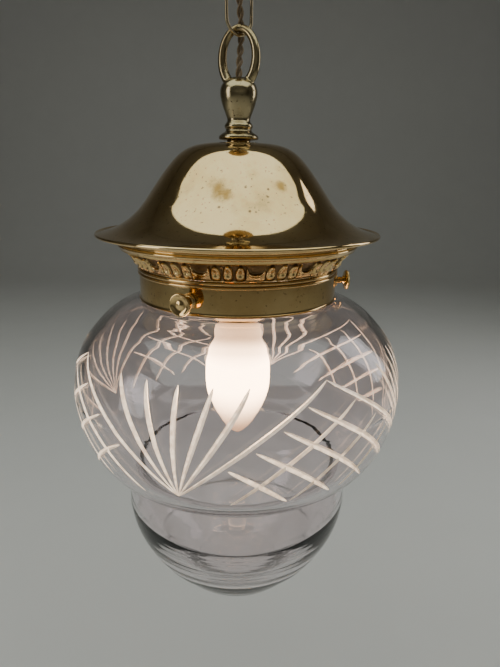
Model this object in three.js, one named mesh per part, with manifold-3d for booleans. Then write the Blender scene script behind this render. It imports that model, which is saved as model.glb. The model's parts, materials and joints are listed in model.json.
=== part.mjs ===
// Cut glass pendant light: a clear globe shade in a brass gallery, hung from a short chain.
// Millimetres, +Z up. Heights are measured from the plane of the canopy's brim and the whole
// lamp is then lowered, so that the origin is the middle of the ceiling plate's flat top.

import * as THREE from 'three';
import { mergeVertices } from 'three/addons/utils/BufferGeometryUtils.js';
import Module from 'manifold-3d';

// Clearances shared by all pieces
const seatGap = 0.3; // between two pieces that touch
const cutOverrun = 2; // how far a cutter passes the face it cuts
const weldDistance = 0.0001; // vertices closer than this are one

// Canopy: a spun brass bell
const friezeTopRadius = 61.4; // the gallery's, which the brim, the collar and the neck follow
const brimOverhang = 10.6; // of the brim past the gallery's top
const brimRadius = friezeTopRadius + brimOverhang;
const canopyHeight = 43.4;
const canopyTopRadius = 9.7;
const canopyWall = 0.9;
const canopyBead = 0.9; // radius of the rolled edge at the brim

// Gallery: a fluted frieze and a plain collar below it
const galleryWall = 0.9;
const friezeTopHeight = 2.1;
const shelfWidth = 7;
const reedDepth = 1.3; // the two reeds under the brim
const reedBandHeight = 9.4;
const coveStep = 3.4; // from the gallery's top in to the cove's top
const coveTopRadius = friezeTopRadius - coveStep;
const coveHeight = 8.9;
const fluteRise = 1.5;
const fluteClusters = 12;
const flutesPerCluster = 3;
const fluteShareOfCluster = 0.66;
const fluteTurn = 86; // degrees, direction of the first cluster
const coveReach = 6; // from the cove's top in to the collar
const collarRadius = coveTopRadius - coveReach;
const collarHeight = 16.4;
const collarBead = 0.8;
const collarLip = 0.6;

// Glass shade: neck, globe, waist and a stepped lower bowl in one piece
const neckSlack = 2.5; // from the collar's outside in to the neck
const neckRadius = collarRadius - neckSlack;
const neckHeight = 15;
const glassWall = 4.2;
const globeRadius = 88.8;
const bowlInset = 24.8; // from the globe's widest ring in to the bowl's
const waistDip = 3.6; // from the bowl's widest ring in to the waist
const shoulderHeight = 47.4; // from the end of the neck to the widest ring
const underHeight = 51;
const bowlRadius = globeRadius - bowlInset;
const waistRadius = bowlRadius - waistDip;
const bowlRise = 21; // from the waist to the bowl's widest ring
const bowlDepth = 63;
const bowlFloor = 7.5;

// Mitre cuts on the globe: fans that spread upwards, with a lattice panel between each two
const cutRepeats = 4;
const fanTurn = -17.5; // degrees from the front, of the first fan's foot
const fanRays = 5;
const fanRayTurn = 10.5; // degrees between two rays at their tips
const panelLines = [4, 3]; // from the left and the right edge of a panel, inside its edges
const cutTop = 21; // below the neck, of the tips
const cutFoot = 72; // below the neck, of the fans' feet
const cutBase = 75; // below the neck, where the lattice ends
const cutBow = 4; // how far a long cut bows above a straight line
const cutDepth = 1.2;
const cutHalfWidth = 1.5;
const cutClear = 1.8; // how far the cutter stands out of the glass
const cutStep = 18; // longest facet along a cut

// Thumb screws, three around the collar
const screwCount = 3;
const firstScrewTurn = -25; // degrees from the front, to the right
const screwRadius = 1.75;
const screwReach = 9; // of the shank, from its point to its head
const screwHeadRadius = 5.3;
const screwHeadThickness = 2;
const screwHeadDish = 0.7;
const bushRadius = 3.6;
const bushThickness = 2.3;
const bushSpigotRadius = 2.8;

// Hanging loop: a cast eye on a turned pear-shaped stem
const loopTurn = -25; // degrees about the vertical, of the eye's width
const stemNeckRadius = 5.8;
const stemFlangeRadius = 9.9;
const stemPearRadius = 9.1;
const stemHeight = 29.7;
const eyeHalfWidth = 8.9;
const eyeHalfHeight = 12.6;
const eyeArmRadius = 2.5;
const eyeTopRadius = 1.8;
const eyeSink = 4.4; // of the eye's lowest bar, below the top of the stem

// Chain and ceiling plate
const wireRadius = 0.8;
const linkHalfWidth = 7.1; // to the middle of the wire
const linkPitch = 26.4; // from the middle of the lowest wire to the middle of the highest
const linkTurns = [35, -55]; // degrees, the lower and the upper link
const hookWireRadius = 1.8;
const hookBendRadius = 5.6;
const hookStem = 9;
const hookThreadRise = 6;
const plateRadius = 23;
const plateHeight = 13;
const plateRim = 3;
const plateNeckRadius = 7;
const plateFlexReach = 13; // of the flex hole from the middle

// Threaded tube, nuts and bridge inside the canopy
const tubeRadius = 4;
const tubeBore = 2.7;
const tubeEngagement = 12; // how far it goes up into the stem
const tubeDepth = 6; // how far it goes down into the lampholder's cap
const nutRadius = 8;
const nutThickness = 3.4;
const washerRadius = 9;
const washerThickness = 1.2;
const bridgeThickness = 1.4;
const bridgeHubRadius = 14;
const bridgeArmWidth = 13;
const bridgeRimWidth = 4.5;

// Lampholder and bulb
const holderCapHeight = 12;
const holderBossRadius = 7.2;
const holderCapOver = 0.8; // how far the cap's skirt stands out past the body
const holderWall = 1.1;
const holderBodyHeight = 27;
const holderRingWidth = 6.5;
const holderRingThickness = 2.6;
const holderRingDrop = 9;
const insulatorThickness = 7;
const lugRadius = 1.1;
const lugTurn = 20; // degrees that the bulb turns in its slots
const lugSlack = 3; // degrees, past the lug at each end of its slot
const bulbCapRadius = 11;
const bulbCapHeight = 24;
const bulbCapWall = 0.8;
const bulbCapSlack = 0.5; // between the bulb's cap and the holder's body
const bulbNeckDepth = 8; // of the glass inside its cap
const bulbRadius = 18.2;
const bulbLength = 72.5; // of the glass below its cap
const bulbWall = 1;
const stemRodRadius = 2.4;
const stemRodLength = 34;

// Flex: two cores twisted together, threaded through the chain
const flexRadius = 1.6;
const flexHoleRadius = 2.1;

// Facets round each kind of piece
const largeSides = 36;
const glassSides = 32;
const cavitySides = 24; // inside of the glass
const middleSides = 18;
const smallSides = 12;
const wireSides = 6;
const ringSteps = 20;
const flexSteps = 40;
const hookSteps = 24;

const brass = { color: 0xb08a45, metalness: 1, roughness: 0.32 };
const darkBrass = { color: 0x7d6233, metalness: 1, roughness: 0.42 };
const steelGrey = { color: 0x9a9a94, metalness: 1, roughness: 0.4 };
const clearGlass = { color: 0xf2ece4, metalness: 0, roughness: 0.05, transparent: true, opacity: 0.35 };
const warmGlass = { color: 0xffdf9e, metalness: 0, roughness: 0.2, transparent: true, opacity: 0.6 };
const porcelain = { color: 0xe9e4d8, metalness: 0, roughness: 0.3 };
const flexCotton = { color: 0x3a2c22, metalness: 0, roughness: 0.85 };

const wasm = await Module();
wasm.setup();

const degrees = (angle) => THREE.MathUtils.degToRad(angle);

// Angle about the vertical, from +X, of a direction given from the front towards the right
const fromFront = (turn) => degrees(turn - 90);

const outward = (angle, radius, height = 0) =>
	new THREE.Vector3(Math.cos(angle) * radius, Math.sin(angle) * radius, height);

// Welds the vertices, drops empty triangles and makes the faces point outwards
function closed(geometry) {

	geometry.deleteAttribute('normal');
	geometry.deleteAttribute('uv');
	const welded = mergeVertices(geometry, weldDistance);
	const place = welded.getAttribute('position');
	const source = welded.getIndex().array;
	const kept = [];
	const a = new THREE.Vector3(), b = new THREE.Vector3(), c = new THREE.Vector3();
	let volume = 0;

	for (let i = 0; i < source.length; i += 3) {

		const [p, q, r] = source.slice(i, i + 3);
		if (p === q || q === r || r === p) continue;
		kept.push(p, q, r);
		a.fromBufferAttribute(place, p);
		b.fromBufferAttribute(place, q);
		c.fromBufferAttribute(place, r);
		volume += a.dot(b.cross(c));

	}

	if (volume < 0) kept.reverse();
	welded.setIndex(kept);
	return welded;

}

function toSolid(geometry) {

	const ready = closed(geometry);
	return new wasm.Manifold(new wasm.Mesh({
		numProp: 3,
		vertProperties: new Float32Array(ready.getAttribute('position').array),
		triVerts: new Uint32Array(ready.getIndex().array),
	}));

}

function toGeometry(solid) {

	const mesh = solid.getMesh();
	const geometry = new THREE.BufferGeometry();
	geometry.setAttribute('position', new THREE.BufferAttribute(new Float32Array(mesh.vertProperties), 3));
	geometry.setIndex(new THREE.BufferAttribute(new Uint32Array(mesh.triVerts), 1));
	return geometry;

}

function joined(...geometries) {

	return toGeometry(geometries.map(toSolid).reduce((sum, next) => sum.add(next)));

}

function cut(geometry, ...cutters) {

	return toGeometry(cutters.map(toSolid).reduce((rest, cutter) => rest.subtract(cutter), toSolid(geometry)));

}

// Revolves [radius, height] points about the vertical
function turned(points, sides) {

	const profile = points.map(([radius, height]) => new THREE.Vector2(radius, height));
	return new THREE.LatheGeometry(profile, sides).rotateX(Math.PI / 2);

}

// A revolved wall, whose profile runs down its outside and back up its inside
function turnedShell(outer, inner, sides) {

	return turned([...outer, ...[...inner].reverse(), outer[0]], sides);

}

function upright(radius, bottom, height, sides) {

	return new THREE.CylinderGeometry(radius, radius, height, sides)
		.rotateX(Math.PI / 2).translate(0, 0, bottom + height / 2);

}

// Moves each point of a profile towards the inside of the wall by its thickness
function insetProfile(points, wall) {

	return points.map(([radius, height], i) => {

		const [r0, h0] = points[Math.max(i - 1, 0)];
		const [r1, h1] = points[Math.min(i + 1, points.length - 1)];
		const length = Math.hypot(r1 - r0, h1 - h0);
		return [radius + (h1 - h0) / length * wall, height - (r1 - r0) / length * wall];

	});

}

// Points of a smooth curve through shares of a width and a height, from a starting corner
function curveThrough(shares, width, height, startRadius, startHeight, steps) {

	const spline = new THREE.SplineCurve(shares.map(([across, down]) =>
		new THREE.Vector2(startRadius + across * width, startHeight - down * height)));
	return spline.getPoints(steps).map((point) => [point.x, point.y]);

}

// A closed ring of round section whose middle line and thickness are functions of the angle
function ringOf(middle, thickness, steps, sides) {

	const corners = [];
	const faces = [];
	for (let i = 0; i < steps; i++) {

		const angle = i / steps * 2 * Math.PI;
		const along = new THREE.Vector2(...middle(angle + 0.01)).sub(new THREE.Vector2(...middle(angle - 0.01)));
		along.normalize();
		const [x, z] = middle(angle);
		for (let k = 0; k < sides; k++) {

			const turn = (k + 0.5) / sides * 2 * Math.PI;
			const away = Math.cos(turn) * thickness(angle);
			corners.push(x + along.y * away, Math.sin(turn) * thickness(angle), z - along.x * away);
			const next = (k + 1) % sides;
			const here = i * sides, there = ((i + 1) % steps) * sides;
			faces.push(here + k, there + k, there + next, here + k, there + next, here + next);

		}

	}

	const geometry = new THREE.BufferGeometry();
	geometry.setAttribute('position', new THREE.Float32BufferAttribute(corners, 3));
	geometry.setIndex(faces);
	geometry.computeVertexNormals();
	geometry.setAttribute('uv', new THREE.Float32BufferAttribute(new Float32Array(corners.length / 3 * 2), 2));
	return geometry;

}

// A round bar along a path
function bar(path, radius, steps, sides) {

	const section = new THREE.Shape(Array.from({ length: sides }, (_, k) => new THREE.Vector2(
		Math.cos((k + 0.5) / sides * 2 * Math.PI) * radius, Math.sin((k + 0.5) / sides * 2 * Math.PI) * radius)));
	return new THREE.ExtrudeGeometry(section, { steps, extrudePath: path, bevelEnabled: false });

}

// Canopy

const canopyShares = [
	[0, 0], [0.15, 0.006], [0.28, 0.06], [0.4, 0.225], [0.522, 0.47],
	[0.632, 0.69], [0.706, 0.785], [0.84, 0.92], [1, 1],
];

function canopyOuter() {

	return canopyShares.map(([out, down]) =>
		[canopyTopRadius + out * (brimRadius - canopyTopRadius), canopyHeight * (1 - down)]);

}

function makeCanopy() {

	const outer = canopyOuter();
	const inner = insetProfile(outer, canopyWall).filter((_, i) => i % 2 === 0);
	const hole = tubeRadius + seatGap;
	const edge = [[brimRadius + canopyBead / 2, -canopyBead / 2], [brimRadius, -canopyBead],
		[brimRadius - canopyBead, -canopyBead]];
	return turnedShell([[hole, canopyHeight], ...outer, ...edge],
		[[hole, canopyHeight - canopyWall], ...inner.slice(0, -1)], largeSides);

}

// Gallery rim: the shelf that the bridge stands on, and two reeds under the brim

const reedShares = [[0, 0.32], [1, 0.42], [1, 0.54], [0.1, 0.64], [0.6, 0.77], [-0.4, 1]];
const rimBottomHeight = friezeTopHeight - reedBandHeight;

function makeRim() {

	const reeds = reedShares.map(([out, down]) =>
		[friezeTopRadius + out * reedDepth, friezeTopHeight - down * reedBandHeight]);
	const shelfUnder = friezeTopHeight - galleryWall;
	const ledgeTop = rimBottomHeight + galleryWall;
	const inside = friezeTopRadius - galleryWall;
	const ledgeEdge = coveTopRadius - galleryWall;
	return turnedShell([[friezeTopRadius, friezeTopHeight], ...reeds],
		[[friezeTopRadius - shelfWidth, friezeTopHeight], [friezeTopRadius - shelfWidth, shelfUnder],
			[inside, shelfUnder], [inside, ledgeTop], [ledgeEdge, ledgeTop], [ledgeEdge, rimBottomHeight]],
		largeSides);

}

// Gallery frieze: a cove with clusters of upright flutes

const coveShares = [[0, 0], [0.38, 0.22], [0.8, 0.62], [1, 1]];
const coveTopHeight = rimBottomHeight - seatGap;
const friezeBottomHeight = coveTopHeight - coveHeight;
const fluteStepShares = [0, 1 / 2];

// How far the cove is raised at a share of one cluster's width
function fluteAt(share) {

	const inCluster = share / fluteShareOfCluster;
	return inCluster >= 1 ? 0 : Math.abs(Math.sin(inCluster * flutesPerCluster * Math.PI)) * fluteRise;

}

function friezeColumns() {

	const shares = [];
	for (let flute = 0; flute < flutesPerCluster; flute++) {

		for (const step of fluteStepShares) shares.push((flute + step) / flutesPerCluster * fluteShareOfCluster);

	}

	shares.push(fluteShareOfCluster);
	return Array.from({ length: fluteClusters }, (_, cluster) =>
		shares.map((share) => ({ turn: (cluster + share) / fluteClusters * 360 + fluteTurn, rise: fluteAt(share) }))).flat();

}

// Each column is the whole profile at one angle, with the flutes' rise in the cove's middle
function makeFrieze() {

	const cove = coveShares.map(([across, down]) =>
		[coveTopRadius - across * coveReach, coveTopHeight - down * coveHeight]);
	const inner = cove.map(([radius, height]) => [radius - galleryWall, height]).reverse();
	return gridSolid(friezeColumns().map(({ turn, rise }) => {

		const angle = fromFront(turn);
		const face = cove.map(([radius, height], i) =>
			outward(angle, radius + (i > 0 && i < cove.length - 1 ? rise : 0), height));
		return [...face, ...inner.map(([radius, height]) => outward(angle, radius, height))];

	}));

}

// A closed ring from columns of points, where each column is one closed profile
function gridSolid(columns) {

	const count = columns[0].length;
	const corners = columns.flat().flatMap((point) => [point.x, point.y, point.z]);
	const faces = [];
	for (let i = 0; i < columns.length; i++) {

		const here = i * count, there = ((i + 1) % columns.length) * count;
		for (let k = 0; k < count; k++) {

			const next = (k + 1) % count;
			faces.push(here + k, there + k, there + next, here + k, there + next, here + next);

		}

	}

	const geometry = new THREE.BufferGeometry();
	geometry.setAttribute('position', new THREE.Float32BufferAttribute(corners, 3));
	geometry.setIndex(faces);
	return geometry;

}

// Gallery collar with two beads at its top and a small lip at its foot

const collarTop = friezeBottomHeight - seatGap;
const collarFoot = collarTop - collarHeight;
const screwHeight = collarFoot + collarHeight * 0.42;
const beadShares = [[0.3, 0], [1, 0.05], [0, 0.115], [0.9, 0.16], [0, 0.22]];

function makeCollar() {

	const beads = beadShares.map(([out, down]) =>
		[collarRadius + out * collarBead, collarTop - down * collarHeight]);
	const inside = collarRadius - galleryWall;
	const band = turnedShell(
		[...beads, [collarRadius, collarFoot + 2 * collarLip], [collarRadius + collarLip, collarFoot]],
		[[inside, collarTop], [inside, collarFoot]], largeSides);
	const holes = screwAngles().map((angle) => radialRod(angle, bushSpigotRadius + seatGap,
		inside - cutOverrun, collarRadius + cutOverrun, screwHeight));
	return cut(band, ...holes);

}

// Thumb screws

function screwAngles() {

	return Array.from({ length: screwCount }, (_, i) => fromFront(firstScrewTurn + i * 360 / screwCount));

}

// Lays a shape that was turned about the vertical along a direction out from the middle
function radially(geometry, angle, height) {

	return geometry.rotateY(Math.PI / 2).rotateZ(angle).translate(0, 0, height);

}

function radialRod(angle, radius, from, to, height) {

	return radially(upright(radius, from, to - from, smallSides), angle, height);

}

function makeBush(angle) {

	const bore = screwRadius + seatGap;
	const inside = collarRadius - galleryWall;
	const back = collarRadius + seatGap;
	return radially(turned([
		[bore, inside], [bushSpigotRadius, inside], [bushSpigotRadius, back], [bushRadius, back],
		[bushRadius, back + bushThickness * 0.7], [bushRadius * 0.86, back + bushThickness],
		[bore, back + bushThickness], [bore, inside],
	], smallSides), angle, screwHeight);

}

function makeScrew(angle) {

	const tip = neckRadius + seatGap;
	const head = tip + screwReach;
	const back = head + screwHeadThickness;
	return radially(turned([
		[0, tip], [screwRadius * 0.7, tip], [screwRadius, tip + screwRadius * 0.4], [screwRadius, head],
		[screwHeadRadius * 0.62, head], [screwHeadRadius * 0.94, head + screwHeadThickness * 0.4],
		[screwHeadRadius, head + screwHeadThickness * 0.7], [screwHeadRadius * 0.92, back],
		[screwHeadRadius * 0.6, back - screwHeadDish], [0, back - screwHeadDish],
	], smallSides), angle, screwHeight);

}

// Glass shade

const neckTop = collarFoot + neckHeight;
const neckBottom = collarFoot;
const globeMiddle = neckBottom - shoulderHeight;
const waistHeight = globeMiddle - underHeight;
const bowlMiddle = waistHeight - bowlRise;

// Shares of the way out from the neck and down from the shoulder, and so on for each stretch
const shoulderShares = [
	[0, 0], [0.09, 0.02], [0.34, 0.09], [0.5, 0.17], [0.62, 0.26], [0.79, 0.42], [0.9, 0.58], [0.97, 0.78], [1, 1],
];
const underShares = [[0, 0], [0.03, 0.2], [0.11, 0.4], [0.24, 0.58], [0.43, 0.74], [0.68, 0.87], [0.9, 0.95], [1, 1]];
const bowlRiseShares = [[0, 0], [0.2, 0.2], [0.62, 0.5], [0.92, 0.8], [1, 1]];
const bowlUpperShares = [[1, 0], [0.985, 0.12], [0.945, 0.235], [0.892, 0.341]];
const bowlMiddleShares = [[0.858, 0.365], [0.815, 0.495], [0.716, 0.63]];
const bowlLowerShares = [[0.672, 0.66], [0.61, 0.785], [0.48, 0.905], [0.28, 0.976], [0, 1]];
const bowlInnerShares = [[1, 0], [0.93, 0.26], [0.76, 0.58], [0.48, 0.85], [0, 1]];

function bowlPoints(shares, radius, depth) {

	return shares.map(([across, down]) => [across * radius, bowlMiddle - down * depth]);

}

function globeOuter() {

	const shoulder = curveThrough(shoulderShares, globeRadius - neckRadius, shoulderHeight,
		neckRadius, neckBottom, 7);
	const under = curveThrough(underShares, waistRadius - globeRadius, underHeight, globeRadius, globeMiddle, 5);
	const rise = curveThrough(bowlRiseShares, bowlRadius - waistRadius, bowlRise, waistRadius, waistHeight, 3);
	return [...shoulder, ...under.slice(1), ...rise.slice(1, -1)];

}

// Radius of the globe's outside at a height
function globeRadiusAt(height) {

	const body = globeOuter();
	const below = body.findIndex(([, h]) => h <= height);
	const [r0, h0] = body[below - 1], [r1, h1] = body[below];
	return r0 + (r1 - r0) * (height - h0) / (h1 - h0);

}

function onGlobe(turn, height) {

	return outward(fromFront(turn), globeRadiusAt(height), height);

}

// A point on the globe and its way out, between two [turn, height] ends of a cut
function alongCut(from, to, bow, share) {

	const turn = THREE.MathUtils.lerp(from[0], to[0], share);
	const height = THREE.MathUtils.lerp(from[1], to[1], share) + bow * Math.sin(share * Math.PI);
	const place = onGlobe(turn, height);
	const up = onGlobe(turn, height + glassWall).sub(onGlobe(turn, height - glassWall));
	const side = outward(fromFront(turn) + Math.PI / 2, 1);
	return { place, out: side.cross(up).normalize() };

}

// A three-sided cutter that follows the glass and runs out of it at both ends
function makeGroove({ from, to, bow }) {

	const length = alongCut(from, to, bow, 0).place.distanceTo(alongCut(from, to, bow, 1).place);
	const steps = Math.max(3, Math.ceil(length / cutStep));
	const widen = (cutDepth + cutClear) / cutDepth * cutHalfWidth;
	const corners = [];
	const faces = [0, 1, 2];
	for (let i = 0; i <= steps; i++) {

		const share = i / steps;
		const { place, out } = alongCut(from, to, bow, share);
		const near = alongCut(from, to, bow, Math.max(share - 0.02, 0)).place;
		const far = alongCut(from, to, bow, Math.min(share + 0.02, 1)).place;
		const across = far.sub(near).cross(out).normalize();
		const lift = i === 0 || i === steps ? cutDepth : 0;
		const floor = place.clone().addScaledVector(out, lift - cutDepth);
		const crest = place.clone().addScaledVector(out, lift + cutClear);
		corners.push(floor, crest.clone().addScaledVector(across, widen), crest.clone().addScaledVector(across, -widen));
		if (i === 0) continue;
		for (let k = 0; k < 3; k++) {

			const here = (i - 1) * 3, next = (k + 1) % 3;
			faces.push(here + k, here + 3 + k, here + 3 + next, here + k, here + 3 + next, here + next);

		}

	}

	faces.push(3 * steps, 3 * steps + 2, 3 * steps + 1);
	const geometry = new THREE.BufferGeometry().setFromPoints(corners);
	geometry.setIndex(faces);
	return geometry;

}

// All cuts of one repeat, each as its two ends
function cutsOfRepeat(repeat) {

	const pitch = 360 / cutRepeats;
	const foot = [fanTurn + repeat * pitch, neckBottom - cutFoot];
	const tip = [foot[0] + pitch / 2, neckBottom - cutTop];
	const nextFoot = [foot[0] + pitch, foot[1]];
	const cuts = [{ from: tip, to: foot, bow: cutBow }, { from: tip, to: nextFoot, bow: cutBow }];
	for (let ray = 0; ray < fanRays; ray++) {

		const turn = foot[0] + (ray - (fanRays - 1) / 2) * fanRayTurn;
		cuts.push({ from: [turn, tip[1]], to: foot, bow: 0 });

	}

	panelLines.forEach((lines, edge) => {

		const side = edge === 0 ? -1 : 1;
		for (let line = 1; line <= lines; line++) {

			const share = line / (lines + 2);
			const base = neckBottom - cutBase;
			const start = tip[1] + (foot[1] - tip[1]) * share;
			const reach = pitch / 2 * (start - base) / (tip[1] - foot[1]);
			const turn = tip[0] + side * pitch / 2 * share;
			cuts.push({ from: [turn, start], to: [turn - side * reach, base], bow: cutBow * (1 - share) });

		}

	});
	return cuts;

}

function makeShade() {

	const body = globeOuter();
	const outer = [
		[neckRadius, neckTop], ...body,
		...bowlPoints([...bowlUpperShares, ...bowlMiddleShares, ...bowlLowerShares], bowlRadius, bowlDepth),
	];
	const cavity = [
		[0, neckTop + cutOverrun], [neckRadius - glassWall, neckTop + cutOverrun], [neckRadius - glassWall, neckBottom],
		...insetProfile(body, glassWall).filter((_, i) => i > 2 && i % 2),
		...bowlPoints(bowlInnerShares, bowlRadius - glassWall, bowlDepth - bowlFloor),
	];
	const grooves = Array.from({ length: cutRepeats }, (_, repeat) => cutsOfRepeat(repeat)).flat().map(makeGroove);
	return cut(turned([[0, neckTop], ...outer], glassSides), turned(cavity, cavitySides), ...grooves);

}

// Hanging loop

const stemBottom = canopyHeight + seatGap;
const stemTop = stemBottom + stemHeight;
const eyeBottom = stemTop - eyeSink;
const eyeMiddle = eyeBottom + eyeHalfHeight;
const eyeTop = eyeBottom + 2 * eyeHalfHeight;

// Shares of the stem's height, with the radius as a share of the size named beside it
const stemFlangeShares = [[0.59, 0], [0.59, 0.04], [1, 0.055], [1, 0.1], [0.87, 0.14], [0.68, 0.175]];
const stemNeckShares = [[1.12, 0.22], [1.16, 0.25], [1.16, 0.285], [1, 0.325], [1.02, 0.38]];
const stemPearShares = [[0.84, 0.55], [0.98, 0.73], [1, 0.84], [0.9, 0.92], [0.62, 0.98], [0, 1]];

function makeLoop() {

	const rings = (shares, radius) => shares.map(([out, up]) => [out * radius, stemBottom + up * stemHeight]);
	const stem = turned([
		[0, stemBottom], ...rings(stemFlangeShares, stemFlangeRadius), ...rings(stemNeckShares, stemNeckRadius),
		...rings(stemPearShares, stemPearRadius),
	], middleSides);
	const eye = ringOf(
		(angle) => [Math.sin(angle) * eyeHalfWidth, eyeMiddle + Math.cos(angle) * eyeHalfHeight],
		(angle) => eyeTopRadius + (eyeArmRadius - eyeTopRadius) * (1 - Math.cos(angle)) / 2 * 1.1,
		ringSteps, wireSides).rotateZ(degrees(loopTurn));
	const socket = upright(tubeRadius + seatGap, stemBottom - cutOverrun,
		tubeEngagement + seatGap + cutOverrun, smallSides);
	const flexHole = upright(flexHoleRadius, stemBottom, stemHeight + cutOverrun, smallSides);
	return cut(joined(stem, eye), socket, flexHole);

}

// Chain links and ceiling hook, each hanging in the one above

const linkSpacing = 2 * wireRadius + seatGap;
const lowerLinkBottom = eyeTop - eyeTopRadius - wireRadius - seatGap;
const lowerLinkTop = lowerLinkBottom + linkPitch;
const upperLinkBottom = lowerLinkTop - linkSpacing;
const upperLinkTop = upperLinkBottom + linkPitch;
const hookBottom = upperLinkTop - wireRadius - hookWireRadius - seatGap;
const hookMiddle = hookBottom + hookBendRadius;
const plateBottom = hookMiddle + hookStem;
const plateTop = plateBottom + plateHeight;

function makeLink(bottom, turn) {

	const straight = linkPitch / 2 - linkHalfWidth;
	const middle = (angle) => {

		const up = Math.cos(angle);
		return [Math.sin(angle) * linkHalfWidth,
			bottom + linkPitch / 2 + up * linkHalfWidth + Math.sign(up) * straight];

	};
	const bendSteps = ringSteps / 2;
	return ringOf((angle) => middle(angle + Math.PI / bendSteps / 2), () => wireRadius, 2 * bendSteps, wireSides)
		.rotateZ(degrees(turn));

}

// The hook's bar, from its thread in the plate down the middle and round under the link
function makeHook() {

	const points = [new THREE.Vector3(0, 0, plateBottom + hookThreadRise)];
	const bend = hookBendRadius;
	points.push(new THREE.Vector3(0, 0, plateBottom));
	points.push(new THREE.Vector3(-bend * 0.35, 0, hookMiddle + bend * 1.05));
	const sweep = [150, 180, 210, 240, 270, 300, 330, 0, 25];
	for (const turn of sweep) {

		points.push(new THREE.Vector3(Math.cos(degrees(turn)) * bend, 0, hookMiddle + Math.sin(degrees(turn)) * bend));

	}

	return bar(new THREE.CatmullRomCurve3(points), hookWireRadius, hookSteps, wireSides).rotateZ(degrees(linkTurns[0]));

}

const plateShares = [[0.3, 0], [0.36, 0.16], [0.5, 0.36], [0.72, 0.56], [0.93, 0.7], [1, 0.78]];

function makePlate() {

	const body = turned([
		[0, plateBottom], ...plateShares.map(([out, up]) => [out * plateRadius, plateBottom + up * plateHeight]),
		[plateRadius, plateTop], [0, plateTop],
	], middleSides);
	const thread = upright(hookWireRadius + seatGap, plateBottom - cutOverrun,
		hookThreadRise + cutOverrun + seatGap, smallSides);
	const exit = flexExit();
	const flexHole = upright(flexHoleRadius, plateBottom - cutOverrun, plateHeight + 2 * cutOverrun, smallSides)
		.translate(exit.x, exit.y, 0);
	return cut(body, thread, flexHole);

}

// Flex, threaded from side to side through the chain and down the stem to the lampholder

function flexExit() {

	return outward(degrees(linkTurns[0] - 45), plateFlexReach, plateTop);

}

// A point beside the chain, by its distance along and across the lower link's plane
function besideChain(along, across, height) {

	const angle = degrees(linkTurns[0]);
	return new THREE.Vector3(Math.cos(angle) * along - Math.sin(angle) * across,
		Math.sin(angle) * along + Math.cos(angle) * across, height);

}

const flexAside = wireRadius + flexRadius + 3 * seatGap;

function flexRoute() {

	const exit = flexExit();
	return [
		new THREE.Vector3(0, 0, tubeBottom + seatGap),
		new THREE.Vector3(0, 0, stemBottom),
		new THREE.Vector3(0, 0, stemTop),
		besideChain(flexAside * 0.6, flexAside * 0.6, (stemTop + lowerLinkBottom) / 2),
		besideChain(flexAside * 1.1, flexAside, lowerLinkBottom),
		besideChain(flexAside * 1.1, flexAside, eyeTop),
		besideChain(0, 0, (lowerLinkBottom + lowerLinkTop) / 2 + linkHalfWidth / 2),
		besideChain(-flexAside, -flexAside, upperLinkBottom),
		besideChain(-flexAside, -flexAside, lowerLinkTop),
		besideChain(0, -flexAside, (upperLinkBottom + upperLinkTop) / 2),
		besideChain(flexAside * 1.4, -flexAside * 1.4, upperLinkTop),
		new THREE.Vector3(exit.x, exit.y, plateBottom),
		new THREE.Vector3(exit.x, exit.y, plateTop - seatGap),
	];

}

function makeFlex() {

	return bar(new THREE.CatmullRomCurve3(flexRoute(), false, 'centripetal'), flexRadius, flexSteps, wireSides);

}

// Threaded tube with its washer, nuts and the bridge that carries the gallery

const bridgeBottom = friezeTopHeight + seatGap;
const bridgeTop = bridgeBottom + bridgeThickness;
const lowerNutBottom = bridgeBottom - seatGap - nutThickness;
const holderTop = lowerNutBottom - seatGap;
const tubeBottom = holderTop - tubeDepth;
const tubeHole = tubeRadius + seatGap;

function makeTube() {

	const top = stemBottom + tubeEngagement;
	return turned([[tubeBore, tubeBottom], [tubeRadius, tubeBottom], [tubeRadius, top], [tubeBore, top],
		[tubeBore, tubeBottom]], smallSides);

}

function makeNut(bottom) {

	return cut(upright(nutRadius, bottom, nutThickness, 6),
		upright(tubeHole, bottom - cutOverrun, nutThickness + 2 * cutOverrun, smallSides));

}

const washerBottom = canopyHeight - canopyWall - seatGap - washerThickness;

function makeWasher() {

	const top = washerBottom + washerThickness;
	return turned([[tubeHole, washerBottom], [washerRadius, washerBottom], [washerRadius, top],
		[tubeHole, top], [tubeHole, washerBottom]], smallSides);

}

function sector(inner, outer, from, to, bottom, height) {

	const shape = new THREE.Shape();
	shape.absarc(0, 0, outer, from, to, false);
	shape.absarc(0, 0, inner, to, from, true);
	return new THREE.ExtrudeGeometry(shape, { depth: height, bevelEnabled: false, curveSegments: 5 })
		.translate(0, 0, bottom);

}

// A plate on the frieze's shelf, with a window between each two of its arms
function makeBridge() {

	const rim = friezeTopRadius - shelfWidth / 2;
	const windowRadius = rim - bridgeRimWidth;
	const armShare = bridgeArmWidth / windowRadius;
	const reach = bridgeThickness + 2 * cutOverrun;
	const below = bridgeBottom - cutOverrun;
	const windows = screwAngles().map((angle) => sector(bridgeHubRadius, windowRadius,
		angle + armShare, angle + 2 * Math.PI / screwCount - armShare, below, reach));
	return cut(upright(rim, bridgeBottom, bridgeThickness, largeSides), ...windows,
		upright(tubeHole, below, reach, smallSides));

}

// Lampholder: cap, slotted body, clamp ring and insulator

const holderBore = bulbCapRadius + bulbCapSlack;
const holderRadius = holderBore + holderWall;
const holderCapBottom = holderTop - holderCapHeight;
const holderBodyTop = holderCapBottom - seatGap;
const holderBodyBottom = holderBodyTop - holderBodyHeight;
const insulatorTop = holderBodyTop - seatGap;
const bulbCapTop = insulatorTop - insulatorThickness - seatGap;
const bulbCapBottom = bulbCapTop - bulbCapHeight;
const lugHeight = bulbCapTop - bulbCapHeight / 3;

const holderCapShares = [[0, 0], [0, 0.16], [0.3, 0.24], [0.8, 0.52], [1, 0.78], [1, 1]];

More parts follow.
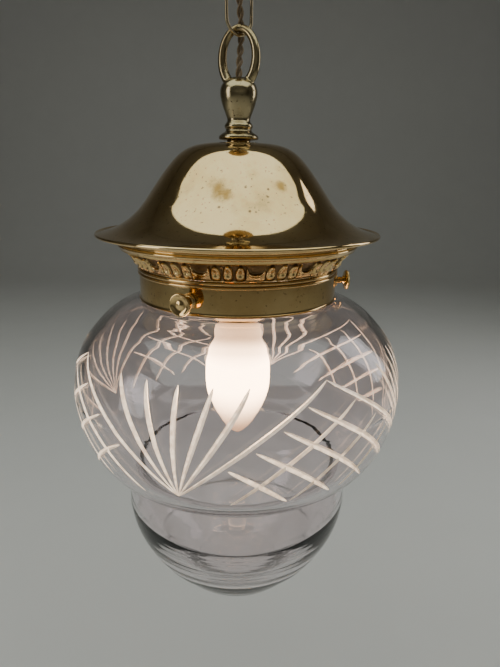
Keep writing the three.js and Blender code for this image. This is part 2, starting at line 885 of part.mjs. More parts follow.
function makeHolderCap() {

	const across = holderRadius + holderCapOver - holderBossRadius;
	const dome = turned([[0, holderTop], ...holderCapShares.map(([out, down]) =>
		[holderBossRadius + out * across, holderTop - down * holderCapHeight]), [0, holderCapBottom]], middleSides);
	return cut(dome, upright(tubeHole, tubeBottom - seatGap, tubeDepth + seatGap + cutOverrun, smallSides));

}

// Two slots from the body's foot up to the lugs' height, and round by the bulb's turn
function makeHolderBody() {

	const tube = turned([[holderBore, holderBodyTop], [holderRadius, holderBodyTop],
		[holderRadius, holderBodyBottom], [holderBore, holderBodyBottom], [holderBore, holderBodyTop]], middleSides);
	const half = (lugRadius + seatGap) / holderBore + degrees(lugSlack) / 2;
	const slotTop = lugHeight + lugRadius + seatGap;
	const slotFloor = lugHeight - lugRadius - seatGap;
	const turn = degrees(lugTurn);
	const slots = lugAngles().flatMap((angle) => [
		sector(holderBore - cutOverrun, holderRadius + cutOverrun, angle - turn - half, angle + half,
			slotFloor, slotTop - slotFloor),
		sector(holderBore - cutOverrun, holderRadius + cutOverrun, angle - turn - half, angle - turn + half,
			holderBodyBottom - cutOverrun, slotTop - holderBodyBottom + cutOverrun),
	]);
	return cut(tube, ...slots);

}

function makeHolderRing() {

	const inside = holderRadius + seatGap;
	const outside = inside + holderRingWidth;
	const top = holderBodyTop - holderRingDrop;
	const bottom = top - holderRingThickness;
	return turned([[inside, top], [outside - holderRingThickness / 2, top], [outside, top - holderRingThickness / 2],
		[outside - holderRingThickness / 2, bottom], [inside, bottom], [inside, top]], middleSides);

}

function makeInsulator() {

	return upright(holderBore - seatGap, insulatorTop - insulatorThickness, insulatorThickness, smallSides);

}

// Bulb: bayonet cap with two lugs, candle-shaped glass and the rod that holds its filament

const bulbNeckRadius = bulbCapRadius - bulbCapWall - seatGap;
const bulbShares = [[0, 0], [0.1, 0.04], [0.55, 0.18], [0.9, 0.33], [1, 0.45], [0.94, 0.58]];
const bulbTipShares = [[0.84, 0.7], [0.62, 0.82], [0.36, 0.92], [0.15, 0.975], [0, 1]];

function lugAngles() {

	return [degrees(loopTurn), degrees(loopTurn) + Math.PI];

}

function makeBulbCap() {

	const inside = bulbCapRadius - bulbCapWall;
	const ceiling = bulbCapTop - 2 * bulbCapWall;
	const edge = 2 * bulbCapWall;
	const cup = turned([[0, bulbCapTop], [bulbCapRadius - edge, bulbCapTop], [bulbCapRadius, bulbCapTop - edge],
		[bulbCapRadius, bulbCapBottom], [inside, bulbCapBottom], [inside, ceiling], [0, ceiling]], middleSides);
	const lugs = lugAngles().map((angle) => radially(
		upright(lugRadius, inside, holderRadius - inside, wireSides), angle, lugHeight));
	return joined(cup, ...lugs);

}

function makeBulbGlass() {

	const top = bulbCapBottom + bulbNeckDepth;
	const upper = bulbShares.map(([out, down]) =>
		[bulbNeckRadius + out * (bulbRadius - bulbNeckRadius), bulbCapBottom - down * bulbLength]);
	const tip = bulbTipShares.map(([out, down]) => [out * bulbRadius, bulbCapBottom - down * bulbLength]);
	const outer = [[bulbNeckRadius, top], ...upper, ...tip];
	const inner = insetProfile(outer, bulbWall).filter((_, i) => i % 2 && i < outer.length - 1);
	return turnedShell(outer, [[bulbNeckRadius - bulbWall, top], ...inner,
		[0, bulbCapBottom - bulbLength + bulbWall]], smallSides);

}

function makeBulbStem() {

	const top = bulbCapTop - 2 * bulbCapWall - seatGap;
	const bottom = bulbCapBottom - stemRodLength;
	const flare = bulbNeckRadius - bulbWall - seatGap;
	return turned([[0, top], [flare, top], [flare, top - flare / 2], [stemRodRadius, bulbCapBottom],
		[stemRodRadius, bottom + stemRodRadius], [stemRodRadius / 2, bottom], [0, bottom]], smallSides);

}

// The lamp, lowered so that the ceiling plate's top is at the origin

const lamp = new THREE.Group();
const hangLevel = new THREE.Group();
hangLevel.position.z = -plateTop;
lamp.add(hangLevel);

function add(name, geometry, finish) {

	const mesh = new THREE.Mesh(closed(geometry), new THREE.MeshStandardMaterial(finish));
	mesh.geometry.computeVertexNormals();
	mesh.name = name;
	hangLevel.add(mesh);

}

add('ceiling_plate', makePlate(), brass);
add('ceiling_hook', makeHook(), brass);
add('flex', makeFlex(), flexCotton);
add('chain_link_upper', makeLink(upperLinkBottom, linkTurns[1]), darkBrass);
add('chain_link_lower', makeLink(lowerLinkBottom, linkTurns[0]), darkBrass);
add('hanging_loop', makeLoop(), darkBrass);
add('canopy', makeCanopy(), brass);
add('canopy_washer', makeWasher(), steelGrey);
add('canopy_nut', makeNut(washerBottom - seatGap - nutThickness), steelGrey);
add('threaded_tube', makeTube(), steelGrey);
add('bridge_nut_upper', makeNut(bridgeTop + seatGap), steelGrey);
add('gallery_bridge', makeBridge(), brass);
add('bridge_nut_lower', makeNut(lowerNutBottom), steelGrey);
add('gallery_rim', makeRim(), brass);
add('gallery_frieze', makeFrieze(), brass);
add('gallery_collar', makeCollar(), brass);
screwAngles().forEach((angle, i) => {

	add(`screw_bush_${i + 1}`, makeBush(angle), brass);
	add(`thumb_screw_${i + 1}`, makeScrew(angle), brass);

});
add('glass_shade', makeShade(), clearGlass);
add('lampholder_cap', makeHolderCap(), brass);
add('lampholder_body', makeHolderBody(), brass);
add('lampholder_ring', makeHolderRing(), brass);
add('lampholder_insulator', makeInsulator(), porcelain);
add('bulb_cap', makeBulbCap(), brass);
add('bulb_glass', makeBulbGlass(), warmGlass);
add('bulb_stem', makeBulbStem(), clearGlass);

export default lamp;
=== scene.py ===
# Cut glass pendant light: every piece is modelled here at its place in the CAD frame, in metres
import json
import math
import bpy
import numpy as np
from mathutils import Matrix, Vector

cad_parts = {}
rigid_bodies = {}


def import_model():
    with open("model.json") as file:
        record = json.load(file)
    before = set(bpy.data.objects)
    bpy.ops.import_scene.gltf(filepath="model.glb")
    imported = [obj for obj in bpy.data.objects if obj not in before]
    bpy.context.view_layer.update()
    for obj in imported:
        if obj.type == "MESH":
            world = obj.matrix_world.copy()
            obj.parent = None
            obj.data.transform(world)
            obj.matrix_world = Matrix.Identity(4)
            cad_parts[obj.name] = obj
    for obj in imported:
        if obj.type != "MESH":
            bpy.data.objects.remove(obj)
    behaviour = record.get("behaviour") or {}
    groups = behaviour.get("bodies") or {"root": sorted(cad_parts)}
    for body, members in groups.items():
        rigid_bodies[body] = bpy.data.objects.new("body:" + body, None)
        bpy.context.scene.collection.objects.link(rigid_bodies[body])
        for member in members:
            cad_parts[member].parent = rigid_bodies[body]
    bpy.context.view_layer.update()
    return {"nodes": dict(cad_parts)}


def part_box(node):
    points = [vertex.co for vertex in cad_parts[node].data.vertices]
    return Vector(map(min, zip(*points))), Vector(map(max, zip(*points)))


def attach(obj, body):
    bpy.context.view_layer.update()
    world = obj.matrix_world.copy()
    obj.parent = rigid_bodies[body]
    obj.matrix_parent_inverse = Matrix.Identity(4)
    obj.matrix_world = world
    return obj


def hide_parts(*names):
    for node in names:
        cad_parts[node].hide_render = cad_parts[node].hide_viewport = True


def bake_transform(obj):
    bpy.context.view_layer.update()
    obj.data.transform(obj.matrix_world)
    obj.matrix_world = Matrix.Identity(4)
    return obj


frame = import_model()
mm = 0.001
mergeNear = 0.005 * mm
print("frame loaded:", len(frame["nodes"]), "nodes")


def low(node):
    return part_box(node)[0][2]


def high(node):
    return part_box(node)[1][2]


# picking, starting and finishing a piece

def pickNothing():
    if bpy.context.object and bpy.context.object.mode != "OBJECT":
        bpy.ops.object.mode_set(mode="OBJECT")
    bpy.ops.object.select_all(action="DESELECT")


def pick(*pieces):
    pickNothing()
    for piece in pieces:
        piece.select_set(True)
    bpy.context.view_layer.objects.active = pieces[0]
    return pieces[0]


def started(name):
    piece = bpy.context.object
    piece.name = piece.data.name = name
    return piece


def opened(piece, action="SELECT"):  # into edit mode, with all or nothing selected
    if piece.mode != "EDIT":
        pick(piece)
        bpy.ops.object.mode_set(mode="EDIT")
    bpy.ops.mesh.select_all(action=action)
    return piece


def closedUp(piece, near=0, caps=False):  # doubles merged, open ends capped, faces turned outwards
    opened(piece)
    if near:
        bpy.ops.mesh.remove_doubles(threshold=near)
    if caps:
        bpy.ops.mesh.select_all(action="DESELECT")
        bpy.ops.mesh.select_non_manifold()
        bpy.ops.mesh.edge_face_add()
        bpy.ops.mesh.select_all(action="SELECT")
    bpy.ops.mesh.normals_make_consistent(inside=False)
    bpy.ops.object.mode_set(mode="OBJECT")
    return piece


def rest(piece):  # its place goes into its mesh
    pick(piece)
    bpy.ops.object.transform_apply(location=True, rotation=True, scale=True)
    return piece


def smooth(piece, angle=35):
    pick(piece)
    bpy.ops.object.shade_smooth_by_angle(angle=math.radians(angle))
    return piece


def modified(piece, kind, **settings):
    pick(piece)
    change = piece.modifiers.new("change", kind)
    for key, value in settings.items():
        setattr(change, key, value)
    bpy.ops.object.modifier_apply(modifier=change.name)
    return piece


def bevelled(piece, width, angle):
    return modified(piece, "BEVEL", width=width, segments=2, limit_method="ANGLE", angle_limit=math.radians(angle),
                    harden_normals=False)


def cutAway(piece, *cutters, operation="DIFFERENCE"):
    for cutter in cutters:
        modified(piece, "BOOLEAN", operation=operation, object=cutter, solver="MANIFOLD")
        bpy.data.objects.remove(cutter)
    return piece


def joinedUp(name, *pieces):
    pick(*pieces)
    bpy.ops.object.join()
    return started(name)


def moved(piece, matrix):
    piece.data.transform(matrix)
    piece.data.update()
    return piece


def copied(piece, name, matrix):
    pick(piece)
    bpy.ops.object.duplicate(linked=False)
    return moved(started(name), matrix)


def placed(piece, body, finish, node):
    if not any(piece.data.materials):  # a cut leaves an empty slot behind
        piece.data.materials.clear()
        piece.data.materials.append(finish)
        piece.data.polygons.foreach_set("material_index", [0] * len(piece.data.polygons))
    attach(piece, body)
    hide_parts(node)
    return piece


def brassPiece(piece, node):
    return placed(piece, "lamp", brassFinish, node)


def curved(points, between=6):  # a smooth line through the points, whatever they are made of
    points = [np.array(point, float) for point in points]
    last = len(points) - 1
    line = []
    for index in range(last):
        before, here, there, after = (points[min(max(index + step, 0), last)] for step in (-1, 0, 1, 2))
        start, end = (there - before) / 2, (after - here) / 2
        for step in range(between):
            t = step / between
            line.append((2 * here - 2 * there + start + end) * t ** 3
                        + (3 * there - 3 * here - 2 * start - end) * t ** 2 + start * t + here)
    line.append(points[last])
    return [tuple(point) for point in line]


def walled(line, wall):  # the same line, moved in by the wall's thickness
    inner = []
    for index, (radius, height) in enumerate(line):
        r0, h0 = line[max(index - 1, 0)]
        r1, h1 = line[min(index + 1, len(line) - 1)]
        length = math.hypot(r1 - r0, h1 - h0)
        inner.append((max(radius + (h1 - h0) / length * wall, 0), height - (r1 - r0) / length * wall))
    return inner


def spun(name, outline, steps, turn=math.tau):  # an outline of (radius, height), turned about the vertical
    pickNothing()
    bpy.ops.mesh.primitive_plane_add(size=mm, location=(outline[0][0], 0, outline[0][1]))
    piece = opened(started(name))
    bpy.ops.mesh.merge(type="CENTER")
    for (r0, h0), (r1, h1) in zip(outline, outline[1:]):
        bpy.ops.mesh.extrude_region_move(TRANSFORM_OT_translate={"value": (r1 - r0, 0, h1 - h0)})
    bpy.ops.mesh.select_all(action="SELECT")
    if turn < math.tau:
        bpy.ops.mesh.remove_doubles(threshold=mergeNear)
        bpy.ops.mesh.select_all(action="SELECT")
        bpy.ops.mesh.edge_face_add()
    bpy.ops.mesh.spin(steps=steps, angle=turn, center=(0, 0, 0), axis=(0, 0, 1))
    return smooth(rest(closedUp(piece, mergeNear)))


def rounded(outline, amount):  # the same closed outline with its corners rounded off
    steps, most = 3, 0.45  # points to a corner, and the share of a side that it may take
    softer = []
    for index, corner in enumerate(outline):
        here = np.array(corner)
        before, after = np.array(outline[index - 1]), np.array(outline[(index + 1) % len(outline)])
        if here[0] == 0:
            softer.append(tuple(here))
            continue
        back, on = (here + (there - here) * min(amount / max(np.linalg.norm(there - here), 1e-9), most)
                    for there in (before, after))
        for step in range(steps + 1):
            t = step / steps
            softer.append(tuple(back * (1 - t) ** 2 + here * 2 * t * (1 - t) + on * t * t))
    return softer + [softer[0]]


def drum(name, radius, bottom, top, sides=48, place=(0, 0)):  # a plain drum, for a cutter or a start
    pickNothing()
    bpy.ops.mesh.primitive_cylinder_add(vertices=sides, radius=radius, depth=top - bottom,
                                        location=(place[0], place[1], (top + bottom) / 2))
    return rest(started(name))


def wire(name, points, radius, sides, thin):  # a round bar along points, as thick at each as thin says
    pickNothing()
    bpy.ops.curve.primitive_bezier_curve_add(location=(0, 0, 0))
    piece = started(name)
    piece.data.splines.clear()
    line = piece.data.splines.new("POLY")
    line.points.add(len(points) - 1)
    for index, point in enumerate(points):
        line.points[index].co = (*point, 1)
        line.points[index].radius = thin(index / (len(points) - 1))
    piece.data.dimensions = "3D"
    piece.data.bevel_depth = radius
    piece.data.bevel_resolution = max((sides - 4) // 2, 0)
    piece.data.use_fill_caps = True
    pick(piece)
    bpy.ops.object.convert(target="MESH")
    return smooth(rest(closedUp(started(name), 0.002 * mm)), 50)


def markHollows(piece, gain=1.6, spread=3):  # an attribute that is high where dirt gathers, low on worn edges
    mesh = piece.data
    count = len(mesh.vertices)

    def listed(items, key, width, kind=float):
        values = np.zeros(len(items) * width, kind)
        items.foreach_get(key, values)
        return values.reshape(-1, width)

    places, normals = listed(mesh.vertices, "co", 3), listed(mesh.vertex_normals, "vector", 3)
    edges = listed(mesh.edges, "vertices", 2, int)
    lengths = np.linalg.norm(places[edges[:, 0]] - places[edges[:, 1]], axis=1)
    tally, total = np.zeros(count), np.zeros(count)
    for one, other in ((0, 1), (1, 0)):
        lean = ((places[edges[:, other]] - places[edges[:, one]]) * normals[edges[:, one]]).sum(1)
        np.add.at(total, edges[:, one], lean / np.maximum(lengths, 1e-9))
        np.add.at(tally, edges[:, one], 1)
    value = total / np.maximum(tally, 1) * gain
    for _ in range(spread):
        near = np.zeros(count)
        np.add.at(near, edges[:, 0], value[edges[:, 1]])
        np.add.at(near, edges[:, 1], value[edges[:, 0]])
        value = (value + near / np.maximum(tally, 1)) / 2
    mark = mesh.attributes.new("hollow", "FLOAT", "POINT")
    mark.data.foreach_set("value", np.clip(value, -1, 1).astype(np.float32))
    return piece


# finishes

class Wire:  # one socket of a material, which works in sums
    def __init__(self, finish, socket):
        self.finish, self.socket = finish, socket

    def reckon(self, operation, *others):
        node = self.finish.nodes.new("ShaderNodeMath")
        node.operation = operation
        for slot, value in zip(node.inputs, (self, *others)):
            self.finish.feed(slot, value)
        return Wire(self.finish, node.outputs[0])

    def __add__(self, other):
        return self.reckon("ADD", other)

    def __sub__(self, other):
        return self.reckon("SUBTRACT", other)

    def __rsub__(self, other):
        return (self * -1) + other

    def __mul__(self, other):
        return self.reckon("MULTIPLY", other)

    def __truediv__(self, other):
        return self.reckon("DIVIDE", other)

    def __pow__(self, other):
        return self.reckon("POWER", other)

    __radd__, __rmul__ = __add__, __mul__


class Finish:  # a material, its shader, and one method that adds any other node
    def __init__(self, name, colour, roughness, **constants):
        self.material = bpy.data.materials.new(name)
        self.material.use_nodes = True
        self.nodes, self.links = self.material.node_tree.nodes, self.material.node_tree.links
        self.shader = self.nodes["Principled BSDF"]
        self.shader.inputs["Base Color"].default_value = (*colour, 1)
        self.shader.inputs["Roughness"].default_value = roughness
        for key, value in constants.items():
            self.shader.inputs[key.replace("_", " ")].default_value = value

    def feed(self, slot, value):
        if isinstance(value, Wire):
            self.links.new(value.socket, slot)
        elif value is not None:
            slot.default_value = value

    def add(self, kind, output=0, settings=None, **values):
        node = self.nodes.new("ShaderNode" + kind)
        for key, value in (settings or {}).items():
            setattr(node, key, value)
        for key, value in values.items():
            self.feed(node.inputs[int(key[1:]) if key[1:].isdigit() else key.replace("_", " ")], value)
        return Wire(self, node.outputs[output])

    def place(self, *scale):  # object coordinates, stretched
        where = self.add("TexCoord", "Object")
        if not scale:
            return where
        return self.add("Mapping", Vector=where, Scale=scale)

    def axes(self, vector):
        first = self.add("SeparateXYZ", Vector=vector)
        return [Wire(self, socket) for socket in first.socket.node.outputs]

    def round(self, across, along):  # (turn, radius, height) about the lamp's axis, for marks of turning
        x, y, z = self.axes(self.place())
        turn = y.reckon("ARCTAN2", x)
        radius = (x * x + y * y) ** 0.5
        return self.add("CombineXYZ", X=turn * across, Y=radius * along, Z=z * along)

    def noise(self, vector, scale, detail=4, rough=0.55):
        return self.add("TexNoise", 0, Vector=vector, Scale=scale, Detail=detail, Roughness=rough)

    def between(self, value, low, high, start=0.0, end=1.0):
        return self.add("MapRange", 0, {"interpolation_type": "SMOOTHSTEP"}, Value=value,
                        From_Min=low, From_Max=high, To_Min=start, To_Max=end)

    def mix(self, share, first, second):
        node = self.nodes.new("ShaderNodeMix")
        node.data_type = "RGBA"
        for index, value in ((0, share), (6, first), (7, second)):
            self.feed(node.inputs[index], (*value, 1) if isinstance(value, tuple) else value)
        return Wire(self, node.outputs[2])

    def bumped(self, height, distance, strength=1.0, over=None):
        return self.add("Bump", 0, Height=height, Distance=distance, Strength=strength, Normal=over)

    def wear(self, slot, value):
        self.feed(self.shader.inputs[slot], value)


def makeBrass(name, bright, warm, dark, rough, tarnish, turned=True, cast=0.0, spots=()):
    brass = Finish(name, bright, rough, Metallic=1.0)
    where = brass.place()
    cloud = brass.noise(where, 24, 5, 0.6)
    patch = brass.between(brass.noise(where, 46, 6, 0.68), 0.56 - 0.1 * tarnish, 0.74)
    stain = brass.between(brass.noise(where, 31, 5, 0.6), 0.58, 0.7)
    speck = brass.between(brass.noise(where, 620, 3, 0.5), 0.66 - 0.05 * tarnish, 0.74)
    hollow = brass.add("Attribute", 2, {"attribute_name": "hollow"})
    # mask of dirt in hollows; on the frieze it also carries painted shade on the ground between the flutes
    dirtAndShade = brass.between(hollow, 0.03, 0.42)
    # mask of wear on edges; on the frieze it also carries a painted highlight on the raised flutes
    worn = brass.between(hollow, -0.04, -0.5)
    colour = brass.mix(brass.between(cloud, 0.36, 0.66), bright, warm)
    colour = brass.mix(patch * (0.35 + 0.5 * tarnish), colour, tuple(0.55 * a + 0.45 * b for a, b in zip(warm, dark)))
    colour = brass.mix(stain * 0.8 * tarnish, colour, (0.4, 0.25, 0.07))
    ragged = brass.noise(where, 130, 5, 0.65)
    for x, y, z, across in spots:  # stains at known places
        far = brass.add("VectorMath", 1, {"operation": "DISTANCE"}, _0=where, _1=(x * mm, y * mm, z * mm))
        spot = brass.between(far / (across * mm) + (ragged - 0.5) * 2.6, 1.35, 0.1)
        colour = brass.mix(spot * 0.9, colour, (0.3, 0.17, 0.04) if across > 1 else dark)
    colour = brass.mix(speck * (0.5 + 0.4 * tarnish), colour, dark)
    colour = brass.mix(dirtAndShade * 0.85, colour, dark)
    colour = brass.mix(worn * 0.35, colour, tuple(min(1.12 * a, 0.98) for a in bright))
    brass.wear("Base Color", colour)
    fine = brass.noise(where, 900, 3, 0.6)
    if turned:
        lines = brass.noise(brass.round(1.1, 2600), 1.0, 2, 0.5)
    else:
        lines = brass.noise(brass.place(40, 40, 900), 1, 3, 0.6)
    roughness = rough + patch * 0.16 * tarnish + speck * 0.2 + dirtAndShade * 0.28 + (lines - 0.5) * 0.14 + (fine - 0.5) * 0.05
    brass.wear("Roughness", roughness.reckon("MAXIMUM", 0.05))
    normal = brass.bumped(lines, 0.006 * mm, 0.55)
    normal = brass.bumped(brass.noise(where, 60, 3, 0.5), 0.06 * mm, 0.35, normal)
    if cast:
        normal = brass.bumped(brass.noise(where, 520, 4, 0.62), 0.08 * mm, cast, normal)
    brass.wear("Normal", normal)
    return brass.material


def makeSteel():
    steel = Finish("agedSteel", (0.52, 0.51, 0.48), 0.34, Metallic=1.0)
    where = steel.place()
    rust = steel.between(steel.noise(where, 130, 5, 0.65), 0.55, 0.72)
    colour = steel.mix(steel.noise(where, 60, 3), (0.5, 0.5, 0.49), (0.62, 0.6, 0.56))
    steel.wear("Base Color", steel.mix(rust * 0.7, colour, (0.2, 0.12, 0.07)))
    steel.wear("Roughness", 0.28 + rust * 0.35 + steel.noise(where, 900, 3) * 0.12)
    steel.wear("Normal", steel.bumped(steel.noise(where, 700, 4), 0.02 * mm, 0.6))
    return steel.material


def makeClearGlass():
    glass = Finish("clearGlass", (0.94, 0.9, 0.91), 0.0, IOR=1.5, Transmission_Weight=1.0)
    where = glass.place()
    x, y, z = glass.axes(where)
    radius = (x * x + y * y) ** 0.5
    film = glass.between(glass.noise(where, 38, 6, 0.62), 0.45, 0.8)
    glass.wear("Roughness", film * 0.045)
    glass.wear("Base Color", glass.mix(film, (0.955, 0.895, 0.912), (0.9, 0.835, 0.835)))
    blown = glass.bumped(glass.noise(glass.place(1, 1, 0.55), 26, 2, 0.4), 0.55 * mm, 0.3)
    rings = glass.noise(glass.add("CombineXYZ", X=radius * 420, Y=z * 420), 1, 1, 0.4)
    ringsFrom, ringsFull = -0.29, -0.31  # the bowl's turned rings grow between these heights
    below = glass.between(z, ringsFrom, ringsFull, 0.2, 1.0)
    glass.wear("Normal", glass.bumped(rings * below, 0.1 * mm, 0.5, blown))
    return glass.material


def makeGroundGlass(name, clear, paintedGlow):  # how clear it is, and how strongly it glows: a painted glow that stands in for the bulb's light caught in the cut
    ground = Finish(name, (0.97, 0.955, 0.95), 0.35, IOR=1.5, Transmission_Weight=clear, Emission_Strength=paintedGlow)
    where = ground.place()
    grain = ground.noise(where, 2600, 3, 0.7)
    streak = ground.between(ground.noise(where, 420, 4, 0.65), 0.3, 0.7)
    ground.wear("Base Color", ground.mix(streak, (1.0, 0.95, 0.88), (0.86, 0.79, 0.72)))
    # painted glow colour: warm cream where the streaks are light, brown where they are dark
    ground.wear("Emission Color", ground.mix(streak, (1.0, 0.78, 0.55), (0.55, 0.36, 0.22)))
    ground.wear("Roughness", 0.22 + grain * 0.22)
    ground.wear("Normal", ground.bumped(grain, 0.02 * mm, 0.8, ground.bumped(streak, 0.05 * mm, 0.5)))
    return ground.material


def makeBulbGlass(bottom, top):
    pearl = Finish("pearlBulb", (0.98, 0.94, 0.86), 0.38, Emission_Strength=18)
    x, y, z = pearl.axes(pearl.place())
    share = (z - bottom) / (top - bottom)
    core = pearl.between(share, -0.05, 0.5) * pearl.between(share, 1.0, 0.5)
    glow = pearl.mix(core ** 2.2, (0.05, 0.024, 0.01), (1.0, 0.68, 0.38))
    pearl.wear("Emission Color", glow)
    frost = pearl.noise(pearl.place(), 1500, 3, 0.6)
    pearl.wear("Base Color", pearl.mix(frost, (0.99, 0.96, 0.9), (0.9, 0.85, 0.77)))
    pearl.wear("Roughness", 0.3 + frost * 0.2)
    pearl.wear("Normal", pearl.bumped(frost, 0.01 * mm, 0.5))
    return pearl.material


def makePorcelain():
    glaze = Finish("porcelain", (0.86, 0.83, 0.76), 0.22, IOR=1.52, Coat_Weight=0.4)
    where = glaze.place()
    stained = glaze.between(glaze.noise(where, 90, 5), 0.5, 0.75)
    glaze.wear("Base Color", glaze.mix(stained, (0.88, 0.85, 0.79), (0.68, 0.6, 0.48)))
    glaze.wear("Roughness", 0.16 + glaze.noise(where, 400, 3) * 0.18)
    glaze.wear("Normal", glaze.bumped(glaze.noise(where, 160, 3), 0.03 * mm, 0.5))
    return glaze.material


def makeCotton(name, first, second):  # braided cotton, whose weave follows the core
    cotton = Finish(name, first, 0.85, Sheen_Weight=0.25)
    uv = cotton.add("UVMap", 0, {"uv_map": "weave"})
    across, along, _ = cotton.axes(uv)
    strands, pitch = 12, 5200
    weave = (across * strands + along * pitch).reckon("SINE") * (across * strands - along * pitch).reckon("SINE")
    fuzz = cotton.noise(cotton.place(), 1800, 4, 0.7)
    colour = cotton.mix(cotton.between(weave, -0.3, 0.3), first, second)
    cotton.wear("Base Color", cotton.mix(fuzz * 0.5, colour, tuple(a * 0.45 for a in first)))
    cotton.wear("Roughness", 0.78 + fuzz * 0.18)
    cotton.wear("Normal", cotton.bumped(weave + fuzz * 0.6, 0.09 * mm, 0.8))
    return cotton.material


domeSpots = [(-8.5, -41.6, -143.8, 5.5), (-5.3, -43.3, -147, 3.6), (19, -37.7, -143.5, 3),
             (3.1, -42.1, -143.5, 0.7), (13, -40.7, -144.3, 0.6), (-8.3, -47.3, -151.7, 0.7),
             (4.9, -49, -153.2, 0.7), (7.5, -48.9, -153.5, 0.5)]  # place and size, millimetres
brassLooks = {
    "oldBrass": {"bright": (0.78, 0.56, 0.26), "warm": (0.66, 0.43, 0.17), "dark": (0.13, 0.08, 0.04),
                 "rough": 0.075, "tarnish": 0.55},
    "domeBrass": {"bright": (0.76, 0.56, 0.28), "warm": (0.66, 0.45, 0.19), "dark": (0.13, 0.08, 0.04),
                  "rough": 0.06, "tarnish": 0.55, "spots": domeSpots},
    "castBrass": {"bright": (0.42, 0.34, 0.19), "warm": (0.27, 0.2, 0.1), "dark": (0.06, 0.045, 0.03),
                  "rough": 0.18, "tarnish": 0.95, "turned": False, "cast": 0.6},
    "wireBrass": {"bright": (0.5, 0.42, 0.28), "warm": (0.36, 0.28, 0.16), "dark": (0.09, 0.07, 0.04),
                  "rough": 0.17, "tarnish": 0.85, "turned": False}}
brassFinish, domeFinish, castFinish, wireFinish = (makeBrass(name, **look) for name, look in brassLooks.items())
steelFinish = makeSteel()
glassFinish = makeClearGlass()
# lit and shaded copies of the cut: painted light and a stronger glow on one side of each groove, painted shade on the
# other
cutPaintedLightFinish = makeGroundGlass("groundCut", 0.3, 1.7)
cutPaintedShadeFinish = makeGroundGlass("groundCutPaintedShade", 0.6, 0.5)
bulbFinish = makeBulbGlass(low("bulb_glass"), high("bulb_glass"))
porcelainFinish = makePorcelain()
cottonFinish = makeCotton("flexCotton", (0.12, 0.075, 0.04), (0.3, 0.2, 0.09))
print("finishes made")

# canopy

canopySize = {"wall": 0.9 * mm, "brim": 72 * mm, "top": 9.7 * mm, "height": 43.4 * mm, "bead": 0.85 * mm,
              "hole": 4.4 * mm, "passes": 24, "steps": 192}
canopyShape = [(0, 0), (0.15, 0.006), (0.28, 0.06), (0.4, 0.225), (0.522, 0.47), (0.562, 0.551), (0.6, 0.631),
               (0.648, 0.719), (0.701, 0.795), (0.759, 0.859), (0.815, 0.912), (0.87, 0.95), (0.928, 0.978), (1, 1)]
brimLevel = high("canopy") - canopySize["height"]


def makeCanopy():
    size = canopySize
    line = curved([(size["top"] + out * (size["brim"] - size["top"]), high("canopy") - down * size["height"])
                   for out, down in canopyShape], 6)
    for _ in range(size["passes"]):  # a spun sheet has no flats or kinks
        line[1:-1] = [tuple((np.array(before) + np.array(here) * 2 + np.array(after)) / 4)
                      for before, here, after in zip(line, line[1:], line[2:])]
    hole, bead = size["hole"], size["bead"]
    roll = [(size["brim"] - bead * 0.15 + bead * math.cos(turn), brimLevel - bead * 0.15 + bead * math.sin(turn))
            for turn in np.radians(np.arange(60, -200, -26))]
    inner = [point for point in walled(line, size["wall"]) if point[0] < size["brim"] - 2.2 * bead]
    outline = [(hole, high("canopy"))] + line[:-1] + roll + inner[::-1] + [(hole, high("canopy") - size["wall"])]
    outline.append(outline[0])
    return markHollows(spun("canopyShell", outline, size["steps"]))


placed(makeCanopy(), "lamp", domeFinish, "canopy")

# gallery: rim with its reeds, fluted frieze, collar

gallerySize = {"wall": 0.9 * mm, "top": 61.4 * mm, "shelf": 7 * mm, "reed": 1.3 * mm, "cove": 58 * mm,
               "collar": 52 * mm, "steps": 192}
reedShape = [(0, 0), (0, 0.3), (0.55, 0.33), (1, 0.4), (1.05, 0.475), (0.75, 0.55), (0.12, 0.6), (0.1, 0.65),
             (0.45, 0.69), (0.66, 0.76), (0.45, 0.83), (-0.1, 0.87), (-0.35, 0.93), (-0.45, 1)]


def makeRim():
    size = gallerySize
    top, bottom = high("gallery_rim"), low("gallery_rim")
    reeds = curved([(size["top"] + out * size["reed"], top - down * (top - bottom)) for out, down in reedShape], 5)
    shelf, inside, edge = size["top"] - size["shelf"], size["top"] - size["wall"], size["cove"] - size["wall"]
    under, over = top - size["wall"], bottom + size["wall"]
    outline = [(shelf, top)] + reeds + [(edge, bottom), (edge, over), (inside, over), (inside, under), (shelf, under),
                                        (shelf, top)]
    return markHollows(spun("rimBand", outline, size["steps"]))


brassPiece(makeRim(), "gallery_rim")

friezeSize = {"clusters": 14, "flutes": 3, "share": 0.66, "rise": 2.2 * mm, "firstTurn": 89.7, "cove": 6 * mm,
              "tops": (0.17, 0.12, 0.17), "foot": 0.93, "wide": 0.9, "dimple": 0.5, "swagTop": 0.13, "swagDrop": 0.46,
              "swagRise": 0.46, "swagEdge": 0.07, "crest": 0.3, "steps": 924, "rows": 36}


